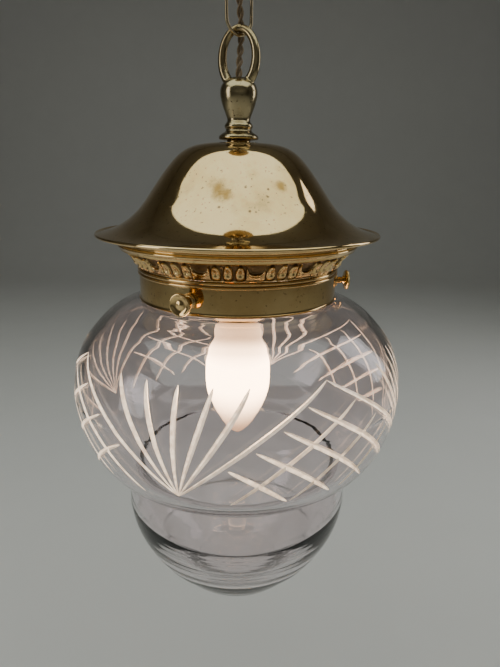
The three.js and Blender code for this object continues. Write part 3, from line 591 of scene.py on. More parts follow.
def fluteRise(turn, down):  # how far the cove is raised at a turn and a share of its height
    size = friezeSize
    share = (turn / math.tau * size["clusters"]) % 1
    inCluster = share / size["share"]
    foot = min(max((0.95 - down) / 0.2, 0), 1) ** 0.5
    if inCluster >= 1:
        # cloth hangs between two clusters, under a hollow that the swag's edge rounds
        middle = (share - size["share"]) / (1 - size["share"]) * 2 - 1
        edge = size["swagTop"] + size["swagDrop"] * (1 - middle ** 4)
        step = min(max((down - edge) / 0.13 + 0.5, 0), 1)
        crest = size["crest"] * math.exp(-((down - edge - size["swagEdge"]) / size["swagEdge"]) ** 2)
        return size["rise"] * (size["swagRise"] * step * step * (3 - 2 * step) + crest) * foot
    lobe = inCluster * size["flutes"]
    tall = size["tops"][int(lobe)]
    along = min(max((down - tall) / (size["foot"] - tall), 0), 1)
    wide = size["wide"] * math.sin(math.pi * (0.1 + 0.62 * along)) ** 0.8
    middle = abs((lobe % 1) * 2 - 1) / wide
    body = max(1 - middle * middle, 0) ** 0.75
    head = min(along / 0.1, 1) ** 0.5
    dimple = size["dimple"] * math.exp(-(middle / 0.4) ** 2) * math.exp(-((along - 0.5) / 0.22) ** 2)
    return size["rise"] * max((body - dimple) * head * foot, 0)


def makeFrieze():
    size = friezeSize
    top, bottom = high("gallery_frieze"), low("gallery_frieze")
    cove = curved([(gallerySize["cove"] - across * size["cove"], top - down * (top - bottom))
                   for across, down in [(0, 0), (0.38, 0.22), (0.8, 0.62), (1, 1)]], size["rows"] // 3)
    inner = [(radius - gallerySize["wall"], height) for radius, height in cove[::4]]
    if inner[-1][1] > bottom + 1e-6:
        inner.append((gallerySize["collar"] - gallerySize["wall"], bottom))
    piece = spun("friezeBand", cove + inner[::-1] + [cove[0]], size["steps"])
    start = math.radians(size["firstTurn"] - 90)
    faceLine = sorted((height, radius) for radius, height in cove)
    raised = {}
    for point in piece.data.vertices:
        radius = math.hypot(point.co.x, point.co.y)
        face = np.interp(point.co.z, [height for height, _ in faceLine], [out for _, out in faceLine])
        if radius < face - 0.3 * mm:
            continue
        down = (top - point.co.z) / (top - bottom)
        rise = fluteRise((math.atan2(point.co.y, point.co.x) - start) % math.tau, down)
        if 0.1 < down < 0.95:
            raised[point.index] = rise / size["rise"]
        point.co.x *= 1 + rise / radius
        point.co.y *= 1 + rise / radius
    piece.data.update()
    markHollows(smooth(piece, 60), 2.2, 1)
    marks = piece.data.attributes["hollow"].data
    for index, share in raised.items():  # painted shade: the ground between the flutes is darkened, and a painted highlight lightens the raised flutes
        marks[index].value = min(max(marks[index].value + 0.5 * (1 - share) ** 2 - 0.3 * share, -1), 1)
    return piece


brassPiece(makeFrieze(), "gallery_frieze")

screwSize = {"turns": (-25, 95, 215), "shank": 1.75 * mm, "pitch": 0.5 * mm, "head": 5.3 * mm, "headThick": 2 * mm,
             "dish": 0.7 * mm, "milling": 0.028, "spigot": 2.8 * mm, "bush": 3.6 * mm, "bushThick": 2.3 * mm,
             "reach": 9 * mm, "tip": 49.8 * mm, "steps": 120}
collarSize = {"radius": 52 * mm, "wall": 0.9 * mm, "bead": 0.8 * mm, "lip": 0.6 * mm}
screwLevel = low("gallery_collar") + 0.42 * (high("gallery_collar") - low("gallery_collar"))


def lying(level, turn):  # lays a piece made about the vertical on its side, at a level, to point out at a turn
    return Matrix.Translation((0, 0, level)) @ Matrix.Rotation(math.radians(turn), 4, "Z") \
        @ Matrix.Rotation(math.pi / 2, 4, "Y")


def outTo(turn):  # a thumb screw's place
    return lying(screwLevel, turn - 90)


def makeCollar():
    size = collarSize
    top, bottom = high("gallery_collar"), low("gallery_collar")
    tall = top - bottom
    beads = []
    for middle, radius in ((0.055, 0.05), (0.17, 0.045)):
        beads += [(size["radius"] + size["bead"] * math.cos(turn), top - (middle - radius * math.sin(turn)) * tall)
                  for turn in np.radians(np.arange(90, -91, -22.5))]
    face = [(size["radius"], top), *beads, (size["radius"], top - 0.235 * tall),
            (size["radius"] - 0.05 * mm, top - 0.5 * tall), (size["radius"], bottom + 3.2 * size["lip"])]
    lip = [(size["radius"] + size["lip"] * 0.7 * (1 - math.cos(turn)),
            bottom + 2 * size["lip"] * (1 - turn / math.pi * 0.9)) for turn in np.radians(np.arange(0, 121, 30))]
    inside = size["radius"] - size["wall"]
    outline = face + lip + [(size["radius"] + 0.2 * size["lip"], bottom), (inside, bottom), (inside, top), face[0]]
    piece = spun("collarBand", outline, gallerySize["steps"])
    start, end = size["radius"] - 7 * mm, size["radius"] + 4 * mm
    holes = [moved(drum("hole", screwSize["spigot"] + 0.1 * mm, start, end), outTo(turn))
             for turn in screwSize["turns"]]
    return markHollows(smooth(cutAway(piece, *holes)))


brassPiece(makeCollar(), "gallery_collar")


def makeBush():
    size = screwSize
    inside, back = collarSize["radius"] - collarSize["wall"], collarSize["radius"] + 0.3 * mm
    thick, bore = size["bushThick"], size["shank"] + 0.2 * mm
    shape = [(1, 0), (1, 0.35), (0.93, 0.42), (0.93, 0.52), (1, 0.6), (0.97, 0.8), (0.8, 1)]
    outline = [(bore, inside), (size["spigot"], inside), (size["spigot"], back)] \
        + [(size["bush"] * out, back + up * thick) for out, up in shape] + [(bore, back + thick)]
    return spun("bush", rounded(outline, 0.22 * mm), 48)


def makeScrew():
    size = screwSize
    tip, head, thick = size["tip"], size["tip"] + size["reach"], size["shank"]
    root = thick * 0.86
    shape = [(0, tip), (thick * 0.6, tip), (root, tip + 0.5 * mm)]
    crest = tip + 0.8 * mm
    while crest < head - 1.3 * mm:  # the thread, as rings
        shape += [(thick, crest), (thick, crest + 0.12 * mm), (root, crest + 0.36 * mm)]
        crest += size["pitch"]
    wide, back, dish = size["head"], head + size["headThick"], size["dish"]
    shape += [(thick, head - 1.0 * mm), (thick * 1.35, head - 0.5 * mm), (thick * 1.5, head + 0.05 * mm),
              (wide * 0.8, head + 0.28 * mm), (wide * 0.95, head + 0.6 * mm), (wide, head + 0.95 * mm),
              (wide, head + 1.45 * mm), (wide * 0.965, back - 0.12 * mm), (wide * 0.9, back),
              (wide * 0.84, back - 0.08 * mm)]
    shape += [(wide * out, back - down * dish)
              for out, down in ((0.74, 0.6), (0.6, 1), (0.28, 1.02), (0.2, 0.75), (0.08, 0.6), (0, 0.58))]
    piece = spun("screw", shape, size["steps"])
    for point in piece.data.vertices:  # a milled edge
        radius = math.hypot(point.co.x, point.co.y)
        if radius > wide * 0.94 and point.co.z > head + 0.5 * mm:
            step = round(math.atan2(point.co.y, point.co.x) / math.tau * size["steps"])
            shrink = 1 - (size["milling"] if step % 3 == 0 else 0)
            point.co.x *= shrink
            point.co.y *= shrink
    piece.data.update()
    return smooth(piece, 40)


bush, screw = makeBush(), makeScrew()
for number, turn in enumerate(screwSize["turns"], 1):
    place, node = outTo(turn), f"thumb_screw_{number}"
    brassPiece(markHollows(copied(bush, f"bush{number}", place)), f"screw_bush_{number}")
    placed(markHollows(copied(screw, f"thumbScrew{number}", place @ Matrix.Rotation(number, 4, "Z"))),
           node, brassFinish, node)
bpy.data.objects.remove(bush)
bpy.data.objects.remove(screw)
print("canopy and gallery made")

# glass shade

glassSize = {"neck": 49.5 * mm, "wall": 4.2 * mm, "globe": 88.8 * mm, "shoulderFall": 47.4 * mm, "underFall": 51 * mm,
             "waist": 60.4 * mm, "bowl": 64 * mm, "bowlRise": 21 * mm, "bowlDepth": 63 * mm, "floor": 7.5 * mm,
             "steps": 240}
shoulderShape = [(0, 0), (0.09, 0.02), (0.34, 0.09), (0.5, 0.17), (0.62, 0.26), (0.79, 0.42), (0.9, 0.58),
                 (0.97, 0.78), (1, 1)]
underShape = [(0, 0), (0.03, 0.2), (0.11, 0.4), (0.24, 0.58), (0.43, 0.74), (0.68, 0.87), (0.9, 0.95), (1, 1)]
riseShape = [(0, 0), (0.2, 0.2), (0.62, 0.5), (0.92, 0.8), (1, 1)]
bowlShape = [(1, 0), (0.985, 0.12), (0.95, 0.245), (0.895, 0.37), (0.84, 0.47), (0.802, 0.532), (0.79, 0.543),
             (0.762, 0.552), (0.75, 0.566), (0.692, 0.66), (0.6, 0.782), (0.505, 0.868), (0.43, 0.915), (0.418, 0.924),
             (0.385, 0.931), (0.372, 0.94), (0.27, 0.974), (0.14, 0.993), (0, 1)]
bowlInnerShape = [(1, 0), (0.93, 0.26), (0.76, 0.58), (0.48, 0.85), (0.24, 0.965), (0, 1)]


def globeLine():
    size = glassSize
    level, line = low("gallery_collar"), []
    for shape, start, end, fall, between in ((shoulderShape, "neck", "globe", "shoulderFall", 6),
                                             (underShape, "globe", "waist", "underFall", 6),
                                             (riseShape, "waist", "bowl", "bowlRise", 5)):
        stretch = curved([(size[start] + out * (size[end] - size[start]), level - down * size[fall])
                          for out, down in shape], between)
        line += stretch[1:] if line else stretch
        level -= size[fall]
    return line, level


globeOutside, bowlLevel = globeLine()
globeHeights = [height for _, height in globeOutside][::-1]
globeRadii = [radius for radius, _ in globeOutside][::-1]


def onGlobe(turn, height):
    angle = math.radians(turn - 90)
    radius = float(np.interp(height, globeHeights, globeRadii))
    return Vector((radius * math.cos(angle), radius * math.sin(angle), height))


cutSize = {"repeats": 4, "firstTurn": -17.5, "rays": 5, "rayTurn": 10.5, "lines": (4, 3), "top": 21 * mm,
           "foot": 72 * mm, "base": 75 * mm, "bow": 4 * mm, "depth": 1.15 * mm, "halfWidth": 1.25 * mm,
           "clear": 0.5 * mm, "ends": 0.1, "swell": 0.45, "taperFrom": 0.14, "steps": 24}
# width, and how much narrower at the foot
cutKinds = {"edge": (0.85, 0), "ray": (1.2, 0.72), "bold": (1.02, 0), "fine": (0.78, 0)}
cornerKinds = {1: 1, 3: -1, 5: 0, 0: 1, 2: -1, 4: 0}  # a corner lies on one side, on the other, or in the glass


def cutsOfRepeat(repeat):  # each cut as its start, its end, how far it bows up, and its kind
    size = cutSize
    neck = low("gallery_collar")
    pitch = 360 / size["repeats"]
    foot = (size["firstTurn"] + repeat * pitch, neck - size["foot"])
    tip = (foot[0] + pitch / 2, neck - size["top"])
    cuts = [(tip, foot, size["bow"], "edge"), (tip, (foot[0] + pitch, foot[1]), size["bow"], "edge")]
    for ray in range(size["rays"]):
        turn = foot[0] + (ray - (size["rays"] - 1) / 2) * size["rayTurn"]
        cuts.append(((turn, tip[1]), foot, 0, "ray"))
    for edge, lines in zip((-1, 1), size["lines"]):
        for line in range(1, lines + 1):
            share = line / (lines + 2)
            start = tip[1] + (foot[1] - tip[1]) * share
            length = pitch / 2 * (start - neck + size["base"]) / (tip[1] - foot[1])
            turn = tip[0] + edge * pitch / 2 * share
            cuts.append(((turn, start), (turn - edge * length, neck - size["base"]), size["bow"] * (1 - share),
                         "bold" if edge < 0 else "fine"))
    return cuts


cutFinishes = (glassFinish, cutPaintedLightFinish, cutPaintedShadeFinish)  # the glass, and a cut's side with painted light and its side with painted shade


def makeCutter(start, end, bow, sort, shelf):  # a three-sided wheel path, which runs out at both ends
    size = cutSize
    steps = size["steps"]
    pickNothing()
    bpy.ops.mesh.primitive_cylinder_add(vertices=3, radius=mm, depth=steps * mm)
    cutter = opened(started("cutter"), "DESELECT")
    bpy.ops.object.mode_set(mode="OBJECT")
    for edge in cutter.data.edges:
        one, other = (cutter.data.vertices[index].co for index in edge.vertices)
        edge.select = abs(one.z - other.z) > mm
    bpy.ops.object.mode_set(mode="EDIT")
    bpy.ops.mesh.subdivide(number_cuts=steps - 1)
    bpy.ops.object.mode_set(mode="OBJECT")

    def at(share):
        turn = start[0] + (end[0] - start[0]) * share
        height = start[1] + (end[1] - start[1]) * share + bow * math.sin(share * math.pi)
        place = onGlobe(turn, height)
        up = onGlobe(turn, height + 2 * mm) - onGlobe(turn, height - 2 * mm)
        side = Vector((-math.sin(math.radians(turn - 90)), math.cos(math.radians(turn - 90)), 0))
        return place, side.cross(up).normalized()

    kinds = []
    for point in cutter.data.vertices:
        share = point.co.z / (steps * mm) + 0.5
        corner = round((math.atan2(point.co.y, point.co.x) % math.tau) / (math.tau / 3) * 2) % 6
        place, out = at(share)
        along = at(min(share + 0.02, 1))[0] - at(max(share - 0.02, 0))[0]
        across = along.cross(out).normalized()
        width, taper = cutKinds[sort]
        ends = size["ends"]
        swell = (ends + (1 - ends) * math.sin(math.pi * min(max(share, 0), 1)) ** size["swell"]) * width
        swell *= 1 - taper * min(max(share - size["taperFrom"], 0), 1)
        deep = size["depth"] * min(swell, 1)
        wide = size["halfWidth"] * swell * (deep + size["clear"]) / deep
        kind = cornerKinds[corner]
        kinds.append(kind)
        point.co = place + (out * -deep if kind == 0 else out * size["clear"] + across * wide * kind)
    cutter.data.update()
    closedUp(cutter)
    for finish in cutFinishes:
        cutter.data.materials.append(finish)
    for face in cutter.data.polygons:  # one side of each groove gets the painted-light finish, the other the painted-shade finish
        face.material_index = 1 if sum(kinds[index] for index in face.vertices) >= 0 else 2
    for holder in list(cutter.users_collection):
        holder.objects.unlink(cutter)
    shelf.objects.link(cutter)


def makeShade():
    size = glassSize
    bowl = curved([(across * size["bowl"], bowlLevel - down * size["bowlDepth"]) for across, down in bowlShape], 4)
    top, shoulder = high("glass_shade"), low("gallery_collar")
    neck, neckInside = size["neck"], size["neck"] - size["wall"]
    outer = [(neck - 0.6 * mm, top), (neck - 0.12 * mm, top - 0.35 * mm), (neck, top - 1.2 * mm),
             (neck, top - 8 * mm)] + globeOutside[:-1] + bowl
    body = [(radius, height) for radius, height in walled(globeOutside, size["wall"])
            if height < shoulder - 4.6 * mm and radius > neckInside + 0.5 * mm]
    wide, deep = size["bowl"] - size["wall"], size["bowlDepth"] - size["floor"]
    bowlInside = curved([(across * wide, bowlLevel - down * deep) for across, down in bowlInnerShape], 6)
    bend = curved([(neckInside, shoulder - 1 * mm), (neckInside + 0.5 * mm, shoulder - 3.2 * mm), body[0]], 4)
    inner = bend[:-1] + body[:-1] + bowlInside
    outline = outer + inner[::-1] + [(neckInside, top - 8 * mm), (neckInside, top - 1.2 * mm),
                                     (neckInside + 0.2 * mm, top - 0.3 * mm), (neckInside + 0.7 * mm, top), outer[0]]
    piece = spun("shadeGlass", outline, size["steps"])
    for finish in cutFinishes:
        piece.data.materials.append(finish)
    shelf = bpy.data.collections.new("cutters")
    bpy.context.scene.collection.children.link(shelf)
    for repeat in range(cutSize["repeats"]):
        for start, end, bow, sort in cutsOfRepeat(repeat):
            makeCutter(start, end, bow, sort, shelf)
    modified(piece, "BOOLEAN", operation="DIFFERENCE", operand_type="COLLECTION", collection=shelf, solver="MANIFOLD")
    for cutter in list(shelf.objects):
        bpy.data.objects.remove(cutter)
    bpy.data.collections.remove(shelf)
    return smooth(piece, 28)


placed(makeShade(), "shade", glassFinish, "glass_shade")
print("glass cut")

# hanging loop

loopSize = {"turn": -25, "flange": 9.9 * mm, "neck": 5.8 * mm, "pear": 9.1 * mm, "stem": 29.7 * mm,
            "eyeWide": 8.9 * mm, "eyeTall": 12.6 * mm, "arm": 2.5 * mm, "armTop": 1.8 * mm, "sink": 4.4 * mm,
            "socket": 4.3 * mm, "socketDepth": 12.3 * mm, "hole": 2.1 * mm, "voxel": 0.34 * mm}
loopShape = {"flange": [(0.59, 0), (0.59, 0.035), (0.95, 0.05), (1, 0.075), (0.98, 0.1), (0.86, 0.135), (0.7, 0.165)],
             "neck": [(1.08, 0.2), (1.19, 0.235), (1.21, 0.265), (1.1, 0.3), (0.98, 0.33), (0.98, 0.37)],
             "pear": [(0.72, 0.45), (0.86, 0.56), (0.97, 0.68), (1, 0.77), (0.95, 0.85), (0.8, 0.92), (0.5, 0.98),
                      (0, 1)]}


def makeLoop():
    size = loopSize
    foot = low("hanging_loop")
    line = [(out * size[part], foot + up * size["stem"]) for part, shape in loopShape.items() for out, up in shape]
    stem = spun("stem", [(0, foot)] + curved(line, 4), 96)
    pickNothing()
    bpy.ops.mesh.primitive_torus_add(major_segments=96, minor_segments=24, major_radius=size["eyeWide"],
                                     minor_radius=size["arm"], location=(0, 0, 0), rotation=(math.pi / 2, 0, 0))
    eye = rest(started("eye"))
    middle = foot + size["stem"] - size["sink"] + size["eyeTall"]
    for point in eye.data.vertices:
        angle = math.atan2(point.co.x, point.co.z)
        ring = Vector((math.sin(angle) * size["eyeWide"], 0, math.cos(angle) * size["eyeWide"]))
        thick = size["armTop"] + (size["arm"] - size["armTop"]) * (1 - math.cos(angle)) / 2 * 1.1
        away = (point.co - ring) * thick / size["arm"]
        point.co = Vector((ring.x, 0, ring.z * size["eyeTall"] / size["eyeWide"])) + away
        point.co.z += middle
    eye.data.update()
    moved(eye, Matrix.Rotation(math.radians(size["turn"]), 4, "Z"))
    piece = joinedUp("hangingLoop", stem, eye)
    modified(piece, "REMESH", mode="VOXEL", voxel_size=size["voxel"], use_smooth_shade=True)
    modified(piece, "SMOOTH", factor=0.5, iterations=6)
    for point in piece.data.vertices:  # nothing swells below the foot
        point.co.z = max(point.co.z, foot)
    piece.data.update()
    socket = drum("socket", size["socket"], foot - 2 * mm, foot + size["socketDepth"])
    hole = drum("hole", size["hole"], foot + 5 * mm, foot + size["stem"] + 4 * mm)
    return markHollows(smooth(cutAway(piece, socket, hole), 60), 2.5)


placed(makeLoop(), "lamp", castFinish, "hanging_loop")

# chain, hook and ceiling plate

linkSize = {"wire": 0.8 * mm, "halfWidth": 7.1 * mm, "pitch": 26.4 * mm, "turns": {"upper": -55, "lower": 35},
            "bend": 0.12, "seam": 0.045, "seamGap": 0.02, "seamThick": 0.9}


def makeLink(name, node, turn):
    size = linkSize
    pickNothing()
    bpy.ops.mesh.primitive_torus_add(major_segments=112, minor_segments=16, major_radius=size["halfWidth"],
                                     minor_radius=size["wire"], location=(0, 0, 0), rotation=(math.pi / 2, 0, 0))
    link = rest(started(name))
    middle = (high(node) + low(node)) / 2
    straight = size["pitch"] / 2 - size["halfWidth"]
    for point in link.data.vertices:
        side = max(-1, min(1, point.co.z / (size["bend"] * size["halfWidth"])))
        angle = math.atan2(point.co.z, point.co.x)
        if abs(angle) < size["seam"]:  # the seam where the wire's two ends meet
            ring = Vector((size["halfWidth"], 0, 0))
            point.co = ring + (point.co - ring) * (size["seamThick"] if abs(angle) < size["seamGap"] else 1)
        point.co.z += side * straight + middle
    link.data.update()
    return markHollows(smooth(moved(link, Matrix.Rotation(math.radians(turn), 4, "Z")), 60))


for side, turn in linkSize["turns"].items():
    node = f"chain_link_{side}"
    placed(makeLink("link" + side.capitalize(), node, turn), f"link_{side}", wireFinish, node)

hookSize = {"wire": 1.8 * mm, "bend": 5.6 * mm, "thread": 6 * mm, "turn": 35, "tip": 0.93}


def makeHook():
    size = hookSize
    bend = size["bend"]
    plateFoot = low("ceiling_plate")
    middle = low("ceiling_hook") + size["wire"] + bend
    line = [(0, 0, plateFoot + size["thread"]), (0, 0, plateFoot), (-bend * 0.35, 0, middle + bend * 1.05)]
    line += [(math.cos(math.radians(turn)) * bend, 0, middle + math.sin(math.radians(turn)) * bend)
             for turn in (150, 180, 210, 240, 270, 300, 330, 0, 25)]
    tip = size["tip"]
    piece = wire("ceilingHook", curved(line, 8), size["wire"], 20,
                 lambda share: 1 if share < tip else math.sqrt(max(1 - ((share - tip) / 0.075) ** 2, 0.04)))
    return markHollows(moved(piece, Matrix.Rotation(math.radians(size["turn"]), 4, "Z")))


placed(makeHook(), "suspension", brassFinish, "ceiling_hook")

plateSize = {"radius": 23 * mm, "height": 13 * mm, "exit": 13 * mm, "exitTurn": -10, "hole": 2.3 * mm}
plateShape = [(0.3, 0), (0.315, 0.05), (0.345, 0.13), (0.42, 0.26), (0.5, 0.36), (0.61, 0.475), (0.72, 0.56),
              (0.86, 0.64), (0.93, 0.7), (0.985, 0.76), (1, 0.84), (1, 0.94), (0.985, 1)]
exitPlace = (plateSize["exit"] * math.cos(math.radians(plateSize["exitTurn"])),
             plateSize["exit"] * math.sin(math.radians(plateSize["exitTurn"])))


def makePlate():
    size = plateSize
    foot = low("ceiling_plate")
    line = curved([(out * size["radius"], foot + up * size["height"]) for out, up in plateShape], 4)
    piece = spun("ceilingPlate", [(0, foot)] + line + [(0, foot + size["height"])], 128)
    thread = drum("thread", hookSize["wire"] + 0.2 * mm, foot - 2 * mm, foot + hookSize["thread"] + 0.3 * mm)
    hole = drum("hole", size["hole"], foot - 2 * mm, foot + size["height"] + 2 * mm, place=exitPlace)
    return markHollows(smooth(cutAway(piece, thread, hole)))


placed(makePlate(), "suspension", brassFinish, "ceiling_plate")
print("loop, chain, hook and plate made")

# flex: two braided cores twisted together, in three stretches that meet on the links

flexSize = {"core": 0.86 * mm, "apart": 0.84 * mm, "twist": 11 * mm, "sides": 12, "radius": 1.6 * mm, "gap": 0.3 * mm,
            "spacing": 0.9 * mm}


def flexRoute():
    wireRadius, gap = linkSize["wire"], flexSize["gap"]
    aside = wireRadius + flexSize["radius"] + 3 * gap
    angle = math.radians(linkSize["turns"]["lower"])

    def beside(along, across, height):
        return (math.cos(angle) * along - math.sin(angle) * across,
                math.sin(angle) * along + math.cos(angle) * across, height)

    stemBottom = low("hanging_loop")
    stemTop = stemBottom + loopSize["stem"]
    eyeTop = high("hanging_loop") - loopSize["armTop"]
    lowBottom, lowTop = low("chain_link_lower") + wireRadius, high("chain_link_lower") - wireRadius
    highBottom, highTop = low("chain_link_upper") + wireRadius, high("chain_link_upper") - wireRadius
    plateFoot = low("ceiling_plate")
    return [(0, 0, low("threaded_tube") + gap), (0, 0, stemBottom), (0, 0, stemTop),
            beside(aside * 0.6, aside * 0.6, (stemTop + lowBottom) / 2), beside(aside * 1.1, aside, lowBottom),
            beside(aside * 1.1, aside, eyeTop),
            beside(0, 0, (lowBottom + lowTop) / 2 + linkSize["halfWidth"] / 2),
            beside(-aside, -aside, highBottom), beside(-aside, -aside, lowTop),
            beside(0, -aside, (highBottom + highTop) / 2), beside(aside * 1.4, -aside * 1.4, highTop),
            (*exitPlace, plateFoot), (*exitPlace, -gap)]


def evenly(points, spacing):  # points at even steps along a line, and how far along each lies
    points = np.array(points)
    lengths = np.concatenate([[0], np.cumsum(np.linalg.norm(np.diff(points, axis=0), axis=1))])
    count = max(int(lengths[-1] / spacing), 2)
    at = np.linspace(0, lengths[-1], count + 1)
    return np.stack([np.interp(at, lengths, points[:, axis]) for axis in range(3)], 1), at


def softly(points, keep, passes):  # evens out a route, with its ends kept
    points = np.array(points)
    for _ in range(passes):
        points[1:-1] = points[1:-1] * keep + (points[:-2] + points[2:]) / 2 * (1 - keep)
    return points


def makeFlex():
    size = flexSize
    route, at = evenly(curved(flexRoute(), 12), size["spacing"])
    route = softly(route, 0.4, 6)
    tangents = np.gradient(route, axis=0)
    tangents /= np.linalg.norm(tangents, axis=1)[:, None]
    side = np.zeros_like(route)
    side[0] = (1, 0, 0)
    for index in range(1, len(route)):
        flat = side[index - 1] - tangents[index] * np.dot(side[index - 1], tangents[index])
        side[index] = flat / np.linalg.norm(flat)
    across = np.cross(tangents, side)
    # the stretches end on the links' middles
    middles = [(low(link) + high(link)) / 2 for link in ("chain_link_lower", "chain_link_upper")]
    ends = [0, *(int(np.argmin(abs(route[:, 2] - middle))) for middle in middles), len(route) - 1]
    stretches = []
    for number, (start, end) in enumerate(zip(ends, ends[1:])):
        cores = []
        for core in (0, math.pi):
            turn = at / size["twist"] * math.tau + core
            line = route + side * (np.cos(turn) * size["apart"])[:, None] \
                + across * (np.sin(turn) * size["apart"])[:, None]
            part = slice(start, end + 1)
            cores.append(coreTube(f"core{number}", line[part], side[part], tangents[part], at[part]))
        stretches.append(joinedUp(f"flexStretch{number + 1}", *cores))
    return stretches


def coreTube(name, line, sides, tangents, at):  # a grid wrapped round the line, whose map follows the braid
    radius, count = flexSize["core"], flexSize["sides"]
    pickNothing()
    bpy.ops.mesh.primitive_grid_add(x_subdivisions=count, y_subdivisions=len(line) - 1, size=1)
    tube = started(name)
    tube.data.uv_layers[0].name = "weave"
    points = [None] * len(tube.data.vertices)
    places = {}
    for point in tube.data.vertices:
        column, row = round((point.co.x + 0.5) * count), round((point.co.y + 0.5) * (len(line) - 1))
        angle = column / count * math.tau
        across = np.cross(tangents[row], sides[row])
        points[point.index] = line[row] + radius * (math.cos(angle) * sides[row] + math.sin(angle) * across)
        places[point.index] = (column / count, at[row])
    layer = tube.data.uv_layers["weave"].data
    for loop in tube.data.loops:
        layer[loop.index].uv = (places[loop.vertex_index][0] * math.tau / 6, places[loop.vertex_index][1])
    for point in tube.data.vertices:
        point.co = points[point.index]
    tube.data.update()
    return smooth(closedUp(tube, 0.003 * mm, caps=True), 70)


lowStretch, middleStretch, topStretch = makeFlex()
for piece, first, second, joint in ((topStretch, "suspension", "link_upper", "upper_link_swing"),
                                    (middleStretch, "link_upper", "link_lower", "lower_link_swing"),
                                    (lowStretch, "link_lower", "lamp", "lamp_swing")):
    piece.data.materials.append(cottonFinish)
    rise = Vector((0, 0, 5 * mm))
    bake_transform(piece)
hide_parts("flex")
print("flex laid")

# fittings inside the canopy

fittingSize = {"bore": 4.3 * mm, "washer": 9 * mm, "nut": 8 * mm, "nutFace": 7.3 * mm, "nutRound": 8.1 * mm}


def makeNut(name, node):
    size = fittingSize
    bottom, top = low(node), high(node)
    nut = drum(name, size["nut"], bottom, top, 6)
    face, edge, chamfer = size["nutFace"], size["nutRound"], 0.5 * mm
    dome = spun("dome", [(0, bottom), (face, bottom), (edge, bottom + chamfer), (edge, top - chamfer), (face, top),
                         (0, top)], 72)
    cutAway(nut, dome, operation="INTERSECT")
    cutAway(nut, drum("bore", size["bore"], bottom - mm, top + mm))
    return markHollows(smooth(bevelled(nut, 0.18 * mm, 25), 30))


for name, node in (("canopyNut", "canopy_nut"), ("bridgeNutUpper", "bridge_nut_upper"),
                   ("bridgeNutLower", "bridge_nut_lower")):
    placed(makeNut(name, node), "lamp", steelFinish, node)

washerLine = [(fittingSize["bore"], low("canopy_washer")), (fittingSize["washer"], low("canopy_washer")),
              (fittingSize["washer"], high("canopy_washer")), (fittingSize["bore"], high("canopy_washer"))]
placed(spun("canopyWasher", rounded(washerLine, 0.25 * mm), 72), "lamp", steelFinish, "canopy_washer")

tubeSize = {"radius": 4 * mm, "bore": 2.7 * mm, "pitch": 0.9 * mm}


def makeTube():
    bottom, top = low("threaded_tube"), high("threaded_tube")
    radius, bore, pitch = (tubeSize[key] for key in ("radius", "bore", "pitch"))
    root = radius * 0.9
    line = [(bore, bottom), (root, bottom)]
    height = bottom + 0.5 * pitch
    while height < top - pitch:
        line += [(root, height), (radius, height + 0.35 * pitch), (radius, height + 0.5 * pitch),
                 (root, height + 0.85 * pitch)]
        height += pitch
    return smooth(spun("threadedTube", line + [(root, top), (bore, top), line[0]], 36), 60)


placed(makeTube(), "lamp", steelFinish, "threaded_tube")


def makeBridge():  # the flat plate with its three windows, taken from its solid and given soft edges
    source = frame["nodes"]["gallery_bridge"]
    pick(source)
    bpy.ops.object.duplicate(linked=False)
    piece = started("galleryBridge")
    piece.parent = None
    piece.data.materials.clear()
    for key in list(piece.keys()):
        del piece[key]
    opened(piece)
    bpy.ops.mesh.remove_doubles(threshold=0.01 * mm)
    bpy.ops.mesh.dissolve_limited(angle_limit=math.radians(2))
    bpy.ops.object.mode_set(mode="OBJECT")
    return markHollows(smooth(bevelled(piece, 0.25 * mm, 50), 30))


brassPiece(makeBridge(), "gallery_bridge")

# lampholder

holderSize = {"bore": 11.5 * mm, "wall": 1.1 * mm, "boss": 7.2 * mm, "capOver": 0.8 * mm, "capBore": 4.3 * mm,
              "ringWidth": 6.5 * mm, "ringFlutes": 36, "fluteDepth": 0.25 * mm, "thread": 1.3 * mm, "lug": 1.1 * mm,
              "lugs": (-25, 155), "lugTurn": 20, "lugSlack": 3, "threadTurns": 6, "steps": 96, "ringSteps": 144}
holderRadius = holderSize["bore"] + holderSize["wall"]
lugLevel = high("bulb_cap") - (high("bulb_cap") - low("bulb_cap")) / 3


def makeHolderCap():
    size = holderSize
    top, bottom = high("lampholder_cap"), low("lampholder_cap")
    skirt, tall, bore = holderRadius + size["capOver"], top - bottom, size["capBore"]
    across = skirt - size["boss"]
    shape = [(0, 0), (0.02, 0.13), (0.06, 0.18), (0.3, 0.24), (0.55, 0.35), (0.8, 0.52), (0.93, 0.66), (1, 0.78)]
    line = curved([(size["boss"] + out * across, top - down * tall) for out, down in shape], 4)
    line += [(skirt - 0.3 * mm, top - 0.82 * tall), (skirt, top - 0.86 * tall), (skirt, bottom + 0.3 * mm),
             (skirt - 0.3 * mm, bottom)]
    inner = [(skirt - size["wall"], bottom), (skirt - size["wall"], bottom + 1.2 * mm),
             (size["boss"] - 1.4 * mm, bottom + 1.4 * mm)]
    outline = [(bore, top)] + line + inner + [(bore, top - 6.3 * mm), (bore, top)]
    return markHollows(spun("holderCap", outline, size["steps"]))


brassPiece(makeHolderCap(), "lampholder_cap")


